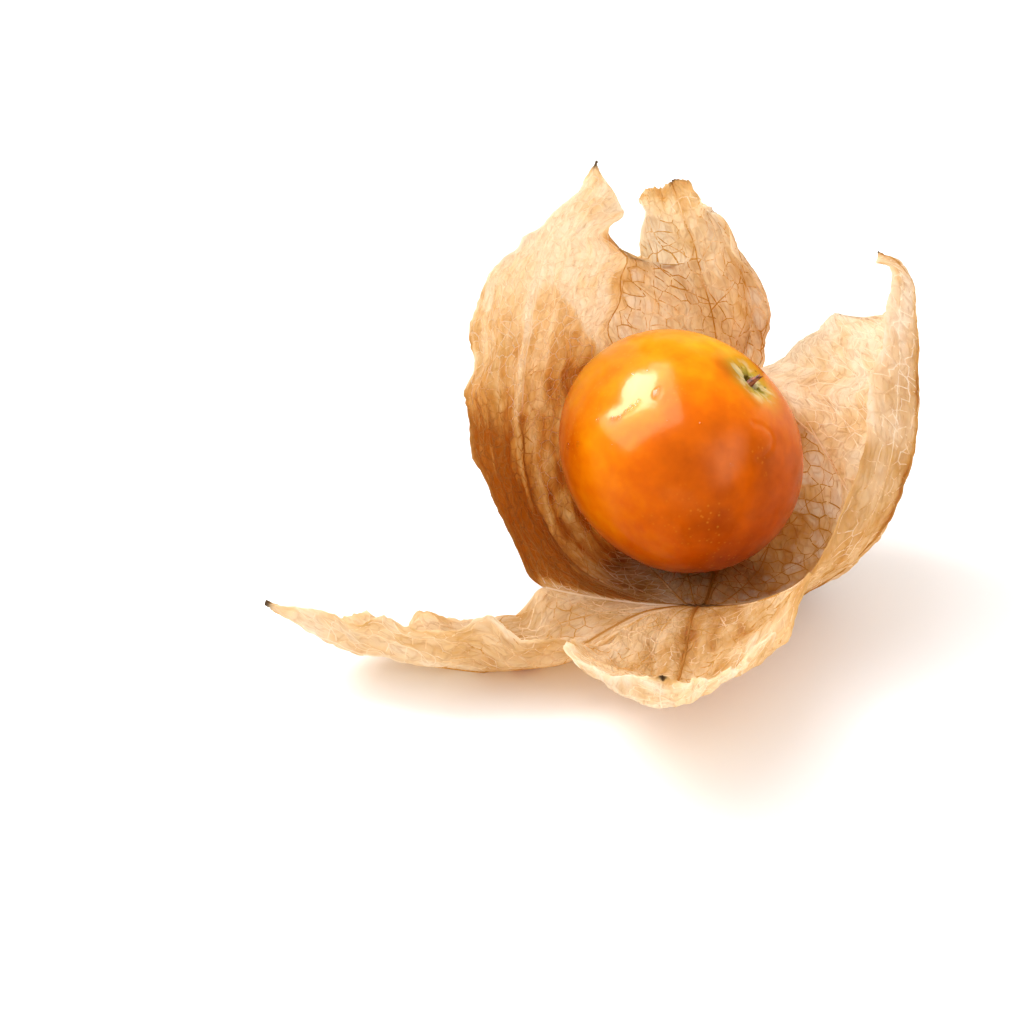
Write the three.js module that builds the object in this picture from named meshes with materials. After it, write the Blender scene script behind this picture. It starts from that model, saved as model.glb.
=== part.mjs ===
// A ripe physalis (cape gooseberry) lying in its own dry husk, which has opened into five lobes.
// Units are millimetres and +Z is up. The origin is on the surface, under the middle of the berry.
import * as THREE from 'three';

// ---------------------------------------------------------------- berry, driving dimensions
const BERRY_WIDTH = 20.4; // across the stalk axis
const BERRY_HEIGHT = 18.1; // along the stalk axis
const BERRY_CENTRE = new THREE.Vector3(0, 0, 10.5);
const SCAR_AXIS = new THREE.Vector3(0.63, -0.1, 0.77).normalize(); // from the centre to the scar
const DIMPLE_DEPTH = 0.8; // hollow round the scar
const DIMPLE_RADIUS = 2.7;
const PIT_RADIUS = 0.75; // hole that the stalk end stands in
const PIT_DEPTH = 0.7;
const STUB_RADIUS = 0.36; // broken end of the stalk
const STUB_LENGTH = 1.6;
const GAP = 0.3; // clear space between two pieces

// ---------------------------------------------------------------- husk, driving dimensions
const PAPER = 0.6; // thickness of the husk
const HUSK_BASE = new THREE.Vector3(1.3, -8.2, 1.3); // where the five lobes meet
const HUSK_LEAN = 26; // degrees that the husk's axis leans back
const LOBE_LENGTH = 46; // along the midrib, from base to tip
const LOBE_COUNT = 5;
const RIB_RELIEF = 0.3; // how far the ribs and the net stand up from the paper
const NET_RELIEF = 0.22;

// The closed husk is a lantern. Its midrib climbs at these angles, in degrees, above the plane across
// the husk's axis, as pairs of [share of the length, angle].
const RIB_SLOPE = [
  [0, -4], [0.15, 16], [0.3, 46], [0.45, 84], [0.62, 114], [0.8, 126], [0.92, 118], [1, 100],
];

// One entry for each lobe, in order round the axis. Angles are in degrees and lengths in millimetres.
// azimuth: where the lobe leaves the base, 0 to the right and 90 to the back
// opened: how far it is peeled outward near the base, in the middle and at the tip
// swayed: how far the midrib turns sideways, low down and high up
// rolled: twist round the midrib
// before, after: half widths on its two sides, at the four shares of the length in WIDTH_AT
// cup: bend across the lobe, 1 for the lantern's own; keel: extra fold along the midrib
// pleat: height of the crumpled folds; length: share of LOBE_LENGTH
// tip: half widths at the tip, on the two sides; flap: width of a torn flap on the first side
// joined: share of the length over which it is one sheet with the next lobe
// fade: share of the length, past the join, over which the two edges get back to their own lines
// phase: where the waves and small tears of its edges start, in radians
const LOBES = [
  // the right lobe, folded along its midrib
  { azimuth: -38, opened: [4, 12, -82], swayed: [14, 28], rolled: -10,
    before: [3.9, 2.7, 1.6, 1.3], after: [6.8, 12.6, 7.1, 2.4],
    cup: 1.6, keel: 0.8, pleat: 0.12, length: 1, tip: [0.4, 0.4], flap: 0, joined: 0.55, fade: 0.13,
    phase: -34.96 },
  // the crumpled lobe at the back
  { azimuth: 76, opened: [-13, 25, 43], swayed: [1, 20], rolled: 19,
    before: [8.4, 4.4, 9, 2.2], after: [8, 8, 5.35, 3.8],
    cup: 1.15, keel: 0, pleat: 0.35, length: 0.98, tip: [0.85, 1.75], flap: 0.9, joined: 0.82,
    fade: 0.02, phase: 78.5 },
  // the lobe at the back left
  { azimuth: 153, opened: [-11, 26, -41], swayed: [14, -3], rolled: 6.5,
    before: [8, 8, 7.4, 5], after: [8, 8, 9, 0.9],
    cup: 0.45, keel: -0.1, pleat: 0.15, length: 1, tip: [0.4, 0.4], flap: 0, joined: 0.3, fade: 0.13,
    phase: 153 },
  // the lobe lying to the left
  { azimuth: 206, opened: [80, 30, -35], swayed: [-6, -6], rolled: 0,
    before: [7.5, 6.6, 4.6, 2], after: [7.5, 6.6, 4.6, 2],
    cup: 1.1, keel: 0.25, pleat: 0.2, length: 0.8, tip: [0.4, 0.4], flap: 0, joined: 0.28, fade: 0.13,
    phase: 211 },
  // the lobe lying to the front
  { azimuth: 259, opened: [82, 40, -38], swayed: [0, 10], rolled: 0,
    before: [7.5, 6.6, 4.6, 2], after: [8.5, 7, 4.6, 2],
    cup: 1.1, keel: 0.25, pleat: 0.2, length: 0.78, tip: [0.4, 0.4], flap: 0, joined: 0.38, fade: 0.13,
    phase: 266 },
];
const WIDTH_AT = [0.45, 0.62, 0.78, 0.9];
const CREASE = 0.8; // how far from the midrib its fold is rounded
const EDGE_WAVE = 0.35; // height of the waves along a free edge
const BROAD = 6; // half width from which tears, waves and crumpled folds have their full size
const FLAP_AT = 0.855; // where the torn flap stands on the back lobe's edge
const FLAP_LENGTH = 0.022; // half its length, as a share of the lobe's
const EDGE_TEAR = 0.05; // share of the width that small tears take out of it

// ---------------------------------------------------------------- grid of the husk
const ROWS = 28; // from base to tip
const COLUMNS = 12; // across one lobe
const FIRST_ROW = 0.03; // share of the length where the first row lies
const SPLIT_STEP = 0.5; // how far each side of a split draws back, in each of its first rows
const SPLIT_ROWS = 2; // how many rows that goes on for
const EDGE_PULL = 1.3; // how fast the pull of a joined edge dies away toward the midrib
const SMALLEST_BEND = 2.5; // least radius of the bend across a lobe
const TIP_FROM = 0.82; // past here the points of a row come to share one normal
const TIP_TO = 0.94;

const RAD = Math.PI / 180;

function smooth(from, to, x) {
  const t = THREE.MathUtils.clamp((x - from) / (to - from), 0, 1);
  return t * t * (3 - 2 * t);
}

// A smooth curve through [x, value] pairs, which leaves no overshoot to speak of.
function curveThrough(keys, x) {
  const last = keys.length - 1;
  let i = 0;
  while (i < last - 1 && x > keys[i + 1][0]) i += 1;
  const slopeAt = (k) => {
    const low = keys[Math.max(k - 1, 0)];
    const high = keys[Math.min(k + 1, last)];
    return (high[1] - low[1]) / (high[0] - low[0]);
  };
  const span = keys[i + 1][0] - keys[i][0];
  const t = THREE.MathUtils.clamp((x - keys[i][0]) / span, 0, 1);
  const h = t * t * (3 - 2 * t);
  const startPull = t * (1 - t) * (1 - t) * span * slopeAt(i);
  const endPull = t * t * (1 - t) * span * slopeAt(i + 1);
  return keys[i][1] * (1 - h) + keys[i + 1][1] * h + startPull - endPull;
}

// ---------------------------------------------------------------- berry
// Everything on the berry is drawn upright and then turned until its axis meets the scar.
const UPRIGHT = new THREE.Vector3(0, 1, 0);
const BERRY_TURN = new THREE.Quaternion().setFromUnitVectors(UPRIGHT, SCAR_AXIS);

// Height of the skin over the berry's middle plane, at a radius from its axis on the scar side.
function skinHeight(radius) {
  const round = Math.sqrt(1 - (2 * radius / BERRY_WIDTH) ** 2) * BERRY_HEIGHT / 2;
  return round - DIMPLE_DEPTH * Math.exp(-((radius / DIMPLE_RADIUS) ** 2));
}

function makeBerry() {
  const profile = [];
  const bodySteps = 22;
  const shoulder = 68 * RAD; // latitude where the scar side's own steps take over
  for (let i = 0; i <= bodySteps; i += 1) {
    const latitude = THREE.MathUtils.lerp(-Math.PI / 2, shoulder, i / bodySteps);
    const radius = i === 0 ? 0 : Math.cos(latitude) * BERRY_WIDTH / 2;
    const height = latitude > 0 ? skinHeight(radius) : Math.sin(latitude) * BERRY_HEIGHT / 2;
    profile.push(new THREE.Vector2(radius, height));
  }
  for (const radius of [3, 2.3, 1.6, 1.15, PIT_RADIUS]) {
    profile.push(new THREE.Vector2(radius, skinHeight(radius)));
  }
  const pitFloor = skinHeight(0) - PIT_DEPTH;
  profile.push(new THREE.Vector2(PIT_RADIUS * 0.9, pitFloor));
  profile.push(new THREE.Vector2(0, pitFloor));
  const geometry = new THREE.LatheGeometry(profile, 44);
  geometry.applyQuaternion(BERRY_TURN);
  return geometry;
}

function makeStub() {
  const foot = skinHeight(0) - PIT_DEPTH + GAP;
  const profile = [
    new THREE.Vector2(0, foot),
    new THREE.Vector2(STUB_RADIUS, foot),
    new THREE.Vector2(STUB_RADIUS * 0.8, foot + STUB_LENGTH * 0.55),
    new THREE.Vector2(STUB_RADIUS * 0.45, foot + STUB_LENGTH * 0.9),
    new THREE.Vector2(0, foot + STUB_LENGTH),
  ];
  const geometry = new THREE.LatheGeometry(profile, 10);
  geometry.applyQuaternion(BERRY_TURN);
  return geometry;
}

// ---------------------------------------------------------------- husk, one lobe as a surface
const LEAN = HUSK_LEAN * RAD;
const AXIS = new THREE.Vector3(0, Math.sin(LEAN), Math.cos(LEAN));
const ACROSS = new THREE.Vector3(1, 0, 0);
const BACKWARD = new THREE.Vector3().crossVectors(AXIS, ACROSS);

const RIB_STEPS = 240;

// Distance of the closed lantern's midrib from the axis, at each step of its length. The last term
// brings the tips of the five lobes together.
function lanternRadii() {
  const radii = [0];
  const step = LOBE_LENGTH / RIB_STEPS;
  for (let i = 1; i <= RIB_STEPS; i += 1) {
    const slope = curveThrough(RIB_SLOPE, (i - 0.5) / RIB_STEPS) * RAD;
    radii.push(radii[i - 1] + Math.cos(slope) * step);
  }
  const open = radii[RIB_STEPS];
  return radii.map((radius, i) => radius - open * (i / RIB_STEPS) ** 2);
}
const LANTERN = lanternRadii();

function lanternRadius(share) {
  const place = share * RIB_STEPS;
  const low = Math.min(Math.floor(place), RIB_STEPS - 1);
  return THREE.MathUtils.lerp(LANTERN[low], LANTERN[low + 1], place - low);
}

// Directions on the midrib: along it, across it to the next lobe, and out of the husk.
function midribFrame(lobe, share) {
  const turn = lobe.azimuth * RAD;
  const outward = ACROSS.clone().multiplyScalar(Math.cos(turn)).addScaledVector(BACKWARD, Math.sin(turn));
  const around = BACKWARD.clone().multiplyScalar(Math.cos(turn)).addScaledVector(ACROSS, -Math.sin(turn));
  const peeled = lobe.opened[0] * smooth(0, 0.35, share)
    + lobe.opened[1] * smooth(0.3, 0.75, share)
    + lobe.opened[2] * smooth(0.75, 1, share);
  const slope = (curveThrough(RIB_SLOPE, share) - peeled) * RAD;
  const sway = (lobe.swayed[0] * smooth(0, 0.5, share) + lobe.swayed[1] * smooth(0.5, 1, share)) * RAD;
  const roll = lobe.rolled * smooth(0.1, 0.7, share) * RAD;

  const climb = outward.clone().multiplyScalar(Math.cos(slope)).addScaledVector(AXIS, Math.sin(slope));
  const face = outward.clone().multiplyScalar(Math.sin(slope)).addScaledVector(AXIS, -Math.cos(slope));
  const along = climb.clone().multiplyScalar(Math.cos(sway)).addScaledVector(around, Math.sin(sway));
  const side = around.clone().multiplyScalar(Math.cos(sway)).addScaledVector(climb, -Math.sin(sway));
  return {
    along,
    across: side.clone().multiplyScalar(Math.cos(roll)).addScaledVector(face, Math.sin(roll)),
    out: face.clone().multiplyScalar(Math.cos(roll)).addScaledVector(side, -Math.sin(roll)),
  };
}

// The midrib's points, found by walking along it in short steps.
function midribPath(lobe) {
  const step = lobe.length * LOBE_LENGTH / RIB_STEPS;
  const path = [HUSK_BASE.clone()];
  for (let i = 1; i <= RIB_STEPS; i += 1) {
    const { along } = midribFrame(lobe, (i - 0.5) / RIB_STEPS);
    path.push(path[i - 1].clone().addScaledVector(along, step));
  }
  return path;
}

// Half of the angle between two neighbours, but no more than on an even lantern.
function halfAngle(lobe, neighbour) {
  const between = Math.abs(lobe.azimuth - neighbour.azimuth);
  return Math.min(Math.min(between, 360 - between) * RAD / 2, Math.PI / LOBE_COUNT);
}

// Half width of a lobe on one side. Near the base it reaches half way to the neighbour there.
function halfWidth(lobe, v, share) {
  const k = LOBES.indexOf(lobe);
  const neighbour = LOBES[(k + (v < 0 ? LOBE_COUNT - 1 : 1)) % LOBE_COUNT];
  const reach = halfAngle(lobe, neighbour);
  const keys = [[0, 0], [0.15, lanternRadius(0.15) * reach], [0.3, lanternRadius(0.3) * reach]];
  const widths = v < 0 ? lobe.before : lobe.after;
  WIDTH_AT.forEach((at, i) => keys.push([at, widths[i]]));
  keys.push([1, lobe.tip[v < 0 ? 0 : 1]]);
  const flap = v < 0 ? lobe.flap * Math.exp(-(((share - FLAP_AT) / FLAP_LENGTH) ** 2)) : 0;
  return curveThrough(keys, share) + flap;
}

// A point of one lobe before it is joined to the others. v runs from -1 to 1 across it.
function lobePoint(lobe, path, share, v) {
  const frame = midribFrame(lobe, share);
  const start = path[Math.round(share * RIB_STEPS)];
  const seed = lobe.phase;
  const uncut = halfWidth(lobe, v, share);
  const free = smooth(0.3, 0.6, share) * (1 - smooth(0.8, 0.97, share)) * Math.min(uncut / BROAD, 1);
  const tear = 1 + EDGE_TEAR * free * (Math.sin(41 * share + seed) + Math.sin(67 * share + 2 * seed + v));
  const width = uncut * tear;
  const cup = 1 + (lobe.cup - 1) * smooth(0.2, 0.6, share);
  const bend = Math.max(lanternRadius(share), SMALLEST_BEND) / cup;
  const angle = THREE.MathUtils.clamp(width * v / bend, -1.5, 1.5);
  const keel = lobe.keel * smooth(0.3, 0.6, share) * (1 - smooth(0.85, 1, share));
  const fold = keel * (Math.hypot(width * v, CREASE) - CREASE);
  const wave = EDGE_WAVE * free * Math.abs(v) ** 2.5 * Math.sin(36 * share + 2.6 * v + seed);
  const pleat = lobe.pleat * free * Math.sin(9.5 * v + 5 * share + seed) * (1 - v * v * 0.4);
  const depth = bend * (1 - Math.cos(angle)) + fold + wave + pleat;

  // The bend across a lobe goes toward the lantern's axis, not straight in from its face.
  const slope = curveThrough(RIB_SLOPE, share) * RAD;
  return start.clone()
    .addScaledVector(frame.across, bend * Math.sin(angle))
    .addScaledVector(frame.along, -depth * Math.cos(slope))
    .addScaledVector(frame.out, -depth * Math.sin(slope));
}

// ---------------------------------------------------------------- husk, five lobes as one sheet
// The paper lies against the berry where it would touch it, and flat on the surface below it.
function layAgainst(point) {
  const clear = PAPER / 2 + NET_RELIEF + GAP;
  const offset = point.clone().sub(BERRY_CENTRE);
  const along = offset.dot(SCAR_AXIS);
  const outward = Math.sqrt(Math.max(offset.lengthSq() - along * along, 0));
  const reach = Math.hypot(along / (BERRY_HEIGHT / 2 + clear), outward / (BERRY_WIDTH / 2 + clear));
  if (reach < 1) point.copy(BERRY_CENTRE).addScaledVector(offset, 1 / reach);
  point.z = Math.max(point.z, PAPER / 2);
  return point;
}

function rowShare(row) {
  return THREE.MathUtils.lerp(FIRST_ROW, 1, row / ROWS);
}

function joinedRows(lobe) {
  return Math.round(ROWS * (lobe.joined - FIRST_ROW) / (1 - FIRST_ROW));
}

// How strongly the ribs and the net stand up at one place of a lobe's grid.
function relief(row, column) {
  const middle = COLUMNS / 2;
  const fromRib = Math.abs(column - middle);
  const fading = THREE.MathUtils.clamp((ROWS - row) / 6, 0, 1);
  if (fromRib === 0) return RIB_RELIEF * fading;
  if (column === 0 || column === COLUMNS || fading < 0.5) return 0;
  if (fromRib === middle / 2) return RIB_RELIEF * 0.6 * fading;
  const staggered = fromRib < middle / 2 ? 0 : 2;
  return (row + staggered + (column > middle ? 1 : 0)) % 4 === 0 ? NET_RELIEF : 0;
}

function makeHuskSheet() {
  const paths = LOBES.map(midribPath);
  const own = (k, row, v) => lobePoint(LOBES[k], paths[k], rowShare(row), v);
  const following = (k) => (k + 1) % LOBE_COUNT;
  const preceding = (k) => (k + LOBE_COUNT - 1) % LOBE_COUNT;

  // Middle line between the edges of lobe k and the lobe after it.
  const seam = (k, row) => own(k, row, 1).lerp(own(following(k), row, -1), 0.5);

  const points = [HUSK_BASE.clone()];
  const heights = [0];
  const index = LOBES.map(() => []);
  for (let k = 0; k < LOBE_COUNT; k += 1) {
    for (let row = 0; row <= ROWS; row += 1) {
      const share = rowShare(row);
      index[k].push([]);
      for (let column = 0; column <= COLUMNS; column += 1) {
        const v = 2 * column / COLUMNS - 1;
        const pair = v < 0 ? preceding(k) : k;
        const edge = own(k, row, v < 0 ? -1 : 1);
        const held = 1 - smooth(LOBES[pair].joined, LOBES[pair].joined + LOBES[pair].fade, share);
        const shift = seam(pair, row).sub(edge);
        const point = own(k, row, v).addScaledVector(shift, held * Math.abs(v) ** EDGE_PULL);
        const rowsApart = row - joinedRows(LOBES[pair]);
        if (rowsApart > 0) {
          const { across } = midribFrame(LOBES[k], share);
          const split = SPLIT_STEP * Math.min(rowsApart, SPLIT_ROWS) * held;
          point.addScaledVector(across, -split * Math.sign(v) * Math.abs(v) ** EDGE_PULL);
        }
        const shared = column === 0 && row <= joinedRows(LOBES[pair]);
        index[k][row].push(shared ? -1 : points.length);
        if (shared) continue;
        points.push(layAgainst(point));
        heights.push(relief(row, column));
      }
    }
  }
  for (let k = 0; k < LOBE_COUNT; k += 1) {
    for (let row = 0; row <= joinedRows(LOBES[preceding(k)]); row += 1) {
      index[k][row][0] = index[preceding(k)][row][COLUMNS];
    }
  }

  const triangles = [];
  for (let k = 0; k < LOBE_COUNT; k += 1) {
    for (let column = 0; column < COLUMNS; column += 1) {
      triangles.push([0, index[k][0][column + 1], index[k][0][column]]);
      for (let row = 0; row < ROWS; row += 1) {
        const a = index[k][row][column];
        const b = index[k][row][column + 1];
        const c = index[k][row + 1][column + 1];
        const d = index[k][row + 1][column];
        triangles.push([a, b, c], [a, c, d]);
      }
    }
  }
  return { points, heights, triangles, index };
}

// Mean normal of the triangles round each point, out of the husk.
function sheetNormals(points, triangles) {
  const normals = points.map(() => new THREE.Vector3());
  const side = new THREE.Vector3();
  const other = new THREE.Vector3();
  for (const [a, b, c] of triangles) {
    side.subVectors(points[b], points[a]);
    other.subVectors(points[c], points[a]);
    side.cross(other);
    for (const corner of [a, b, c]) normals[corner].add(side);
  }
  return normals.map((normal) => normal.normalize());
}

// Toward a tip the columns crowd together, so the points of each row turn to one common normal.
function evenTips(normals, index) {
  for (const rows of index) {
    rows.forEach((row, i) => {
      const amount = smooth(TIP_FROM, TIP_TO, rowShare(i));
      const mean = new THREE.Vector3();
      for (const id of row) mean.add(normals[id]);
      mean.normalize();
      for (const id of row) normals[id].lerp(mean, amount).normalize();
    });
  }
}

// Gives the sheet its thickness: an outer and an inner face with the same triangles, and a rim.
function thicken({ points, heights, triangles, index }) {
  const normals = sheetNormals(points, triangles);
  evenTips(normals, index);
  const count = points.length;
  const position = new Float32Array(count * 6);
  points.forEach((point, i) => {
    const raised = heights[i] * smooth(PAPER / 2, PAPER * 2, point.z);
    const outer = point.clone().addScaledVector(normals[i], PAPER / 2 + raised);
    const inner = point.clone().addScaledVector(normals[i], -PAPER / 2 - raised * 0.5);
    outer.z = Math.max(outer.z, 0);
    inner.z = Math.max(inner.z, 0);
    outer.toArray(position, i * 3);
    inner.toArray(position, (count + i) * 3);
  });

  const faces = [];
  const edges = new Map();
  for (const [a, b, c] of triangles) {
    faces.push(a, b, c, count + a, count + c, count + b);
    for (const [from, to] of [[a, b], [b, c], [c, a]]) {
      if (!edges.delete(`${to},${from}`)) edges.set(`${from},${to}`, [from, to]);
    }
  }
  for (const [from, to] of edges.values()) {
    faces.push(to, from, count + from, to, count + from, count + to);
  }
  const geometry = new THREE.BufferGeometry();
  geometry.setAttribute('position', new THREE.BufferAttribute(position, 3));
  geometry.setIndex(faces);
  geometry.computeVertexNormals();
  return geometry;
}

// ---------------------------------------------------------------- assembly
const berrySkin = new THREE.MeshStandardMaterial({ color: 0xe8860c, roughness: 0.25 });
const dryStalk = new THREE.MeshStandardMaterial({ color: 0x7a4a1c, roughness: 0.8 });
const huskPaper = new THREE.MeshStandardMaterial({ color: 0xd9b27c, roughness: 0.75 });

function place(name, geometry, material, position) {
  const mesh = new THREE.Mesh(geometry, material);
  mesh.name = name;
  mesh.position.copy(position);
  return mesh;
}

const physalis = new THREE.Group();
physalis.add(place('berry', makeBerry(), berrySkin, BERRY_CENTRE));
physalis.add(place('berry_stub', makeStub(), dryStalk, BERRY_CENTRE));
physalis.add(place('husk', thicken(makeHuskSheet()), huskPaper, new THREE.Vector3()));

export default physalis;
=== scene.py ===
import math

import bpy
import numpy as np
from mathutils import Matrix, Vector, geometry, noise


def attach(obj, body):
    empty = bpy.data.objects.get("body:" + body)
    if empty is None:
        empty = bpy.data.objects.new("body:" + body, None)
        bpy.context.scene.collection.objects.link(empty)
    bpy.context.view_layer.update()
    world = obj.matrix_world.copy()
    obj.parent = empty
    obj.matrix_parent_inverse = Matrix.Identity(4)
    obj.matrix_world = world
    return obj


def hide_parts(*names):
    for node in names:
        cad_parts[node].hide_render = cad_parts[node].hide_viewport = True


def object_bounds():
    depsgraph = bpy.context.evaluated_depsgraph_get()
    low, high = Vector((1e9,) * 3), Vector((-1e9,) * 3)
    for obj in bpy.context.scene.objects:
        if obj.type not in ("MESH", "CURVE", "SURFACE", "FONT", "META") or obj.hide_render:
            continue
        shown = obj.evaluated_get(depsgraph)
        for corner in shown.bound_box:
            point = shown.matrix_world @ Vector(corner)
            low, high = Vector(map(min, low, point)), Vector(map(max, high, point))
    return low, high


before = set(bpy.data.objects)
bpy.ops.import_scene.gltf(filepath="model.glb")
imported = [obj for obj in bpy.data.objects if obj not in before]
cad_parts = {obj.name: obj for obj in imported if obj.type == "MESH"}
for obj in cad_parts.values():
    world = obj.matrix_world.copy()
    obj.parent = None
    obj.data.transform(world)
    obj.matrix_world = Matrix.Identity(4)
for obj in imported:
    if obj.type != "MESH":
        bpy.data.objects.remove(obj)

cad_low, cad_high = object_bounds()

# ---- husk paper ----
# The husk is the flower's dried calyx: five lobes of thin paper, grown together at the base. It
# has been pulled open round the fruit, so three lobes still stand and two lie on the surface.
# Lengths in these sections are in millimetres and angles in degrees, as on the solid replaced.
MM = 0.001
RAD = math.pi / 180

SOLID_PAPER = 0.6  # thickness of the solid that this paper replaces
PAPER = 0.12  # thickness of this paper
UNDER_PAPER = 0.05  # air left under paper that lies flat, so that light gets in below
NET_RELIEF = 0.22  # how far the solid's veins stand up
GAP = 0.3  # between the solid husk and the berry
HUSK_BASE = np.array([1.3, -8.2, 1.3])
HUSK_LEAN = 26  # of the husk's axis, back from upright
LOBE_LENGTH = 46  # along the midrib of a whole lobe
LOBE_COUNT = 5
# slope of the closed husk's midrib, by share of its length from the base
RIB_SLOPE = [(0, -4), (0.15, 16), (0.3, 46), (0.45, 84), (0.62, 114), (0.8, 126), (0.92, 118), (1, 100)]
WIDTH_AT = (0.45, 0.62, 0.78, 0.9)  # shares of the length at which half widths are given
# Each lobe's azimuth round the base; how far it is opened low, in the middle and at its tip; how it
# is swayed aside and rolled over; its half widths before and after its midrib; how it is cupped,
# keeled and pleated across; its share of the whole length; its half widths at the tip; a flap on its
# edge; where it is joined to the next lobe up to, and how soon that fades; the phase of its waves;
# how brown it is at the base, at the tip, and further on its after side; how high it is creased;
# where it narrows to its point; how many meshes are bleached windows; how brown its midrib is up
# high; how much browner its veins are than its paper; and one cell of its net, along and across.
PLAIN = dict(rolled=0, before=(7.5, 6.6, 4.6, 2), after=(7.5, 6.6, 4.6, 2), cup=1.1, keel=0.25, pleat=0.2,
             length=1, tip=(0.4, 0.4), flap=0, fade=0.13, creased=0.45, point=0.945, windows=0.4, rib=0,
             vein=-0.15, cell=(2.0, 1.4))
LOBES = [
    # the right lobe, folded along its midrib
    dict(PLAIN, name="right", azimuth=-38, opened=(4, 12, -82), swayed=(14, 28), rolled=-10,
         before=(3.9, 2.7, 1.6, 1.3), after=(6.8, 12.6, 7.1, 2.4), cup=1.6, keel=0.8, pleat=0.12,
         joined=0.55, phase=-34.96, brown=(0.62, 0.26, -0.12), creased=0.3, point=0.88, windows=0.1,
         rib=0.5, vein=-0.25, cell=(1.8, 1.1)),
    # the crumpled lobe at the back
    dict(PLAIN, name="back", azimuth=76, opened=(-13, 25, 43), swayed=(1, 20), rolled=19,
         before=(8.4, 4.4, 9, 2.2), after=(8, 8, 5.35, 3.8), cup=1.15, keel=0, pleat=0.35,
         length=0.98, tip=(0.85, 1.75), flap=0.9, joined=0.82, fade=0.02, phase=78.5,
         brown=(0.52, 0.42, 0), creased=0.75, point=1, windows=1, rib=0.1, vein=0, cell=(2.6, 1.0)),
    # the lobe at the back left; its browner base is partly painted shade beside the berry
    dict(PLAIN, name="back_left", azimuth=153, opened=(-11, 26, -41), swayed=(14, -3), rolled=6.5,
         before=(8, 8, 7.4, 5), after=(8, 8, 9, 0.9), cup=0.45, keel=-0.1, pleat=0.15, joined=0.3,
         phase=153, brown=(0.85, 0.06, 0.42), creased=0.42, windows=0, rib=-0.15, vein=-0.4,
         cell=(1.7, 1.05)),
    # the lobe lying to the left
    dict(PLAIN, name="left", azimuth=206, opened=(80, 30, -35), swayed=(-6, -6), length=0.8,
         joined=0.28, phase=211, brown=(0.55, 0.35, 0)),
    # the lobe lying to the front
    dict(PLAIN, name="front", azimuth=259, opened=(82, 40, -38), swayed=(0, 10), length=0.78,
         after=(8.5, 7, 4.6, 2), joined=0.38, phase=266, brown=(0.55, 0.25, 0)),
]
FLAP_AT, FLAP_LENGTH = 0.855, 0.022  # shares of the lobe's length
BROAD = 6  # half width from which an edge waves fully
KEEL_ROUND = 0.8  # how far from the midrib a keel is rounded off
EDGE_WAVE = 0.35
EDGE_TEAR = 0.05  # as a share of the half width
FIRST_ROW = 0.03  # share of the length where the first row of the sheet lies
SPLIT_STEP, SPLIT_ROWS = 0.5, 2  # how far two lobes part at each row past their join
EDGE_PULL = 1.3  # the higher, the nearer the edge a joined lobe is drawn over
SMALLEST_BEND = 2.5  # radius of the tightest curl across a lobe
SOLID_ROWS, SOLID_COLUMNS = 28, 12  # steps of the solid's sheet
FINER = 5  # steps of this sheet for each step of the solid's
ROWS = SOLID_ROWS * FINER
COLUMNS = SOLID_COLUMNS * FINER
FINE_TEAR = 0.16  # depth of the ragged little tears along a free edge
TORN_LOBE = 1  # this one has lost its point: how far its end reaches, by place
TORN_END = [(-1, -0.026), (-0.6, 0.004), (-0.25, 0.019), (0.05, 0.008), (0.4, -0.008), (0.75, 0),
            (1, -0.002)]
PLEATED_LOBE = 2  # a pleat of this one lies over: where its edge is, across the lobe
PLEAT_EDGE = [(0.5, -9.0), (0.65, -6.6), (0.71, -4.0), (0.775, -0.9)]
CREASE_LONG, CREASE_WIDE = 9.0, 2.2  # one dried crease, along the lobe and across it
PUFF = 0.13  # how far the paper bulges between the veins of the net
VEIN_REACH = 0.35  # how far from a vein of the net the paper still lies low
NET_HALF = 13  # the net's seeds reach this far to each side of a midrib
SEED_JITTER = 0.38  # as a share of a mesh
BLOCK = 2000  # places compared with the seeds at a time
LET_THROUGH = 0.6  # share of the light that thin paper and veins pass on or show from behind
# the berry that the paper lies against
BERRY_WIDTH, BERRY_HEIGHT = 20.4, 18.1
BERRY_CENTRE = np.array([0, 0, 10.5])
SCAR_AXIS = np.array([0.63, -0.1, 0.77]) / np.linalg.norm([0.63, -0.1, 0.77])

AXIS = np.array([0, math.sin(HUSK_LEAN * RAD), math.cos(HUSK_LEAN * RAD)])
ACROSS = np.array([1.0, 0, 0])
BACKWARD = np.cross(AXIS, ACROSS)
RIB_STEPS = 240
random = np.random.default_rng(7)


def smooth(low, high, x):
    t = np.clip((x - low) / (high - low), 0, 1)
    return t * t * (3 - 2 * t)


def curve_through(keys, x):
    """A smooth curve through pairs of (x, value)."""
    xs, ys = np.array(keys, float).T
    slopes = np.empty(len(xs))
    slopes[1:-1] = (ys[2:] - ys[:-2]) / (xs[2:] - xs[:-2])
    slopes[0] = (ys[1] - ys[0]) / (xs[1] - xs[0])
    slopes[-1] = (ys[-1] - ys[-2]) / (xs[-1] - xs[-2])
    i = np.clip(np.searchsorted(xs, x) - 1, 0, len(xs) - 2)
    span = xs[i + 1] - xs[i]
    t = np.clip((x - xs[i]) / span, 0, 1)
    h = t * t * (3 - 2 * t)
    pulls = t * (1 - t) * span * ((1 - t) * slopes[i] - t * slopes[i + 1])
    return ys[i] * (1 - h) + ys[i + 1] * h + pulls


def lantern_radii():
    """Distance of the closed lantern's midrib from its axis, at each step of the midrib."""
    middles = (np.arange(RIB_STEPS) + 0.5) / RIB_STEPS
    steps = np.cos(curve_through(RIB_SLOPE, middles) * RAD) * LOBE_LENGTH / RIB_STEPS
    radii = np.concatenate([[0], np.cumsum(steps)])
    return radii - radii[-1] * np.linspace(0, 1, RIB_STEPS + 1) ** 2


LANTERN = lantern_radii()


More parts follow.
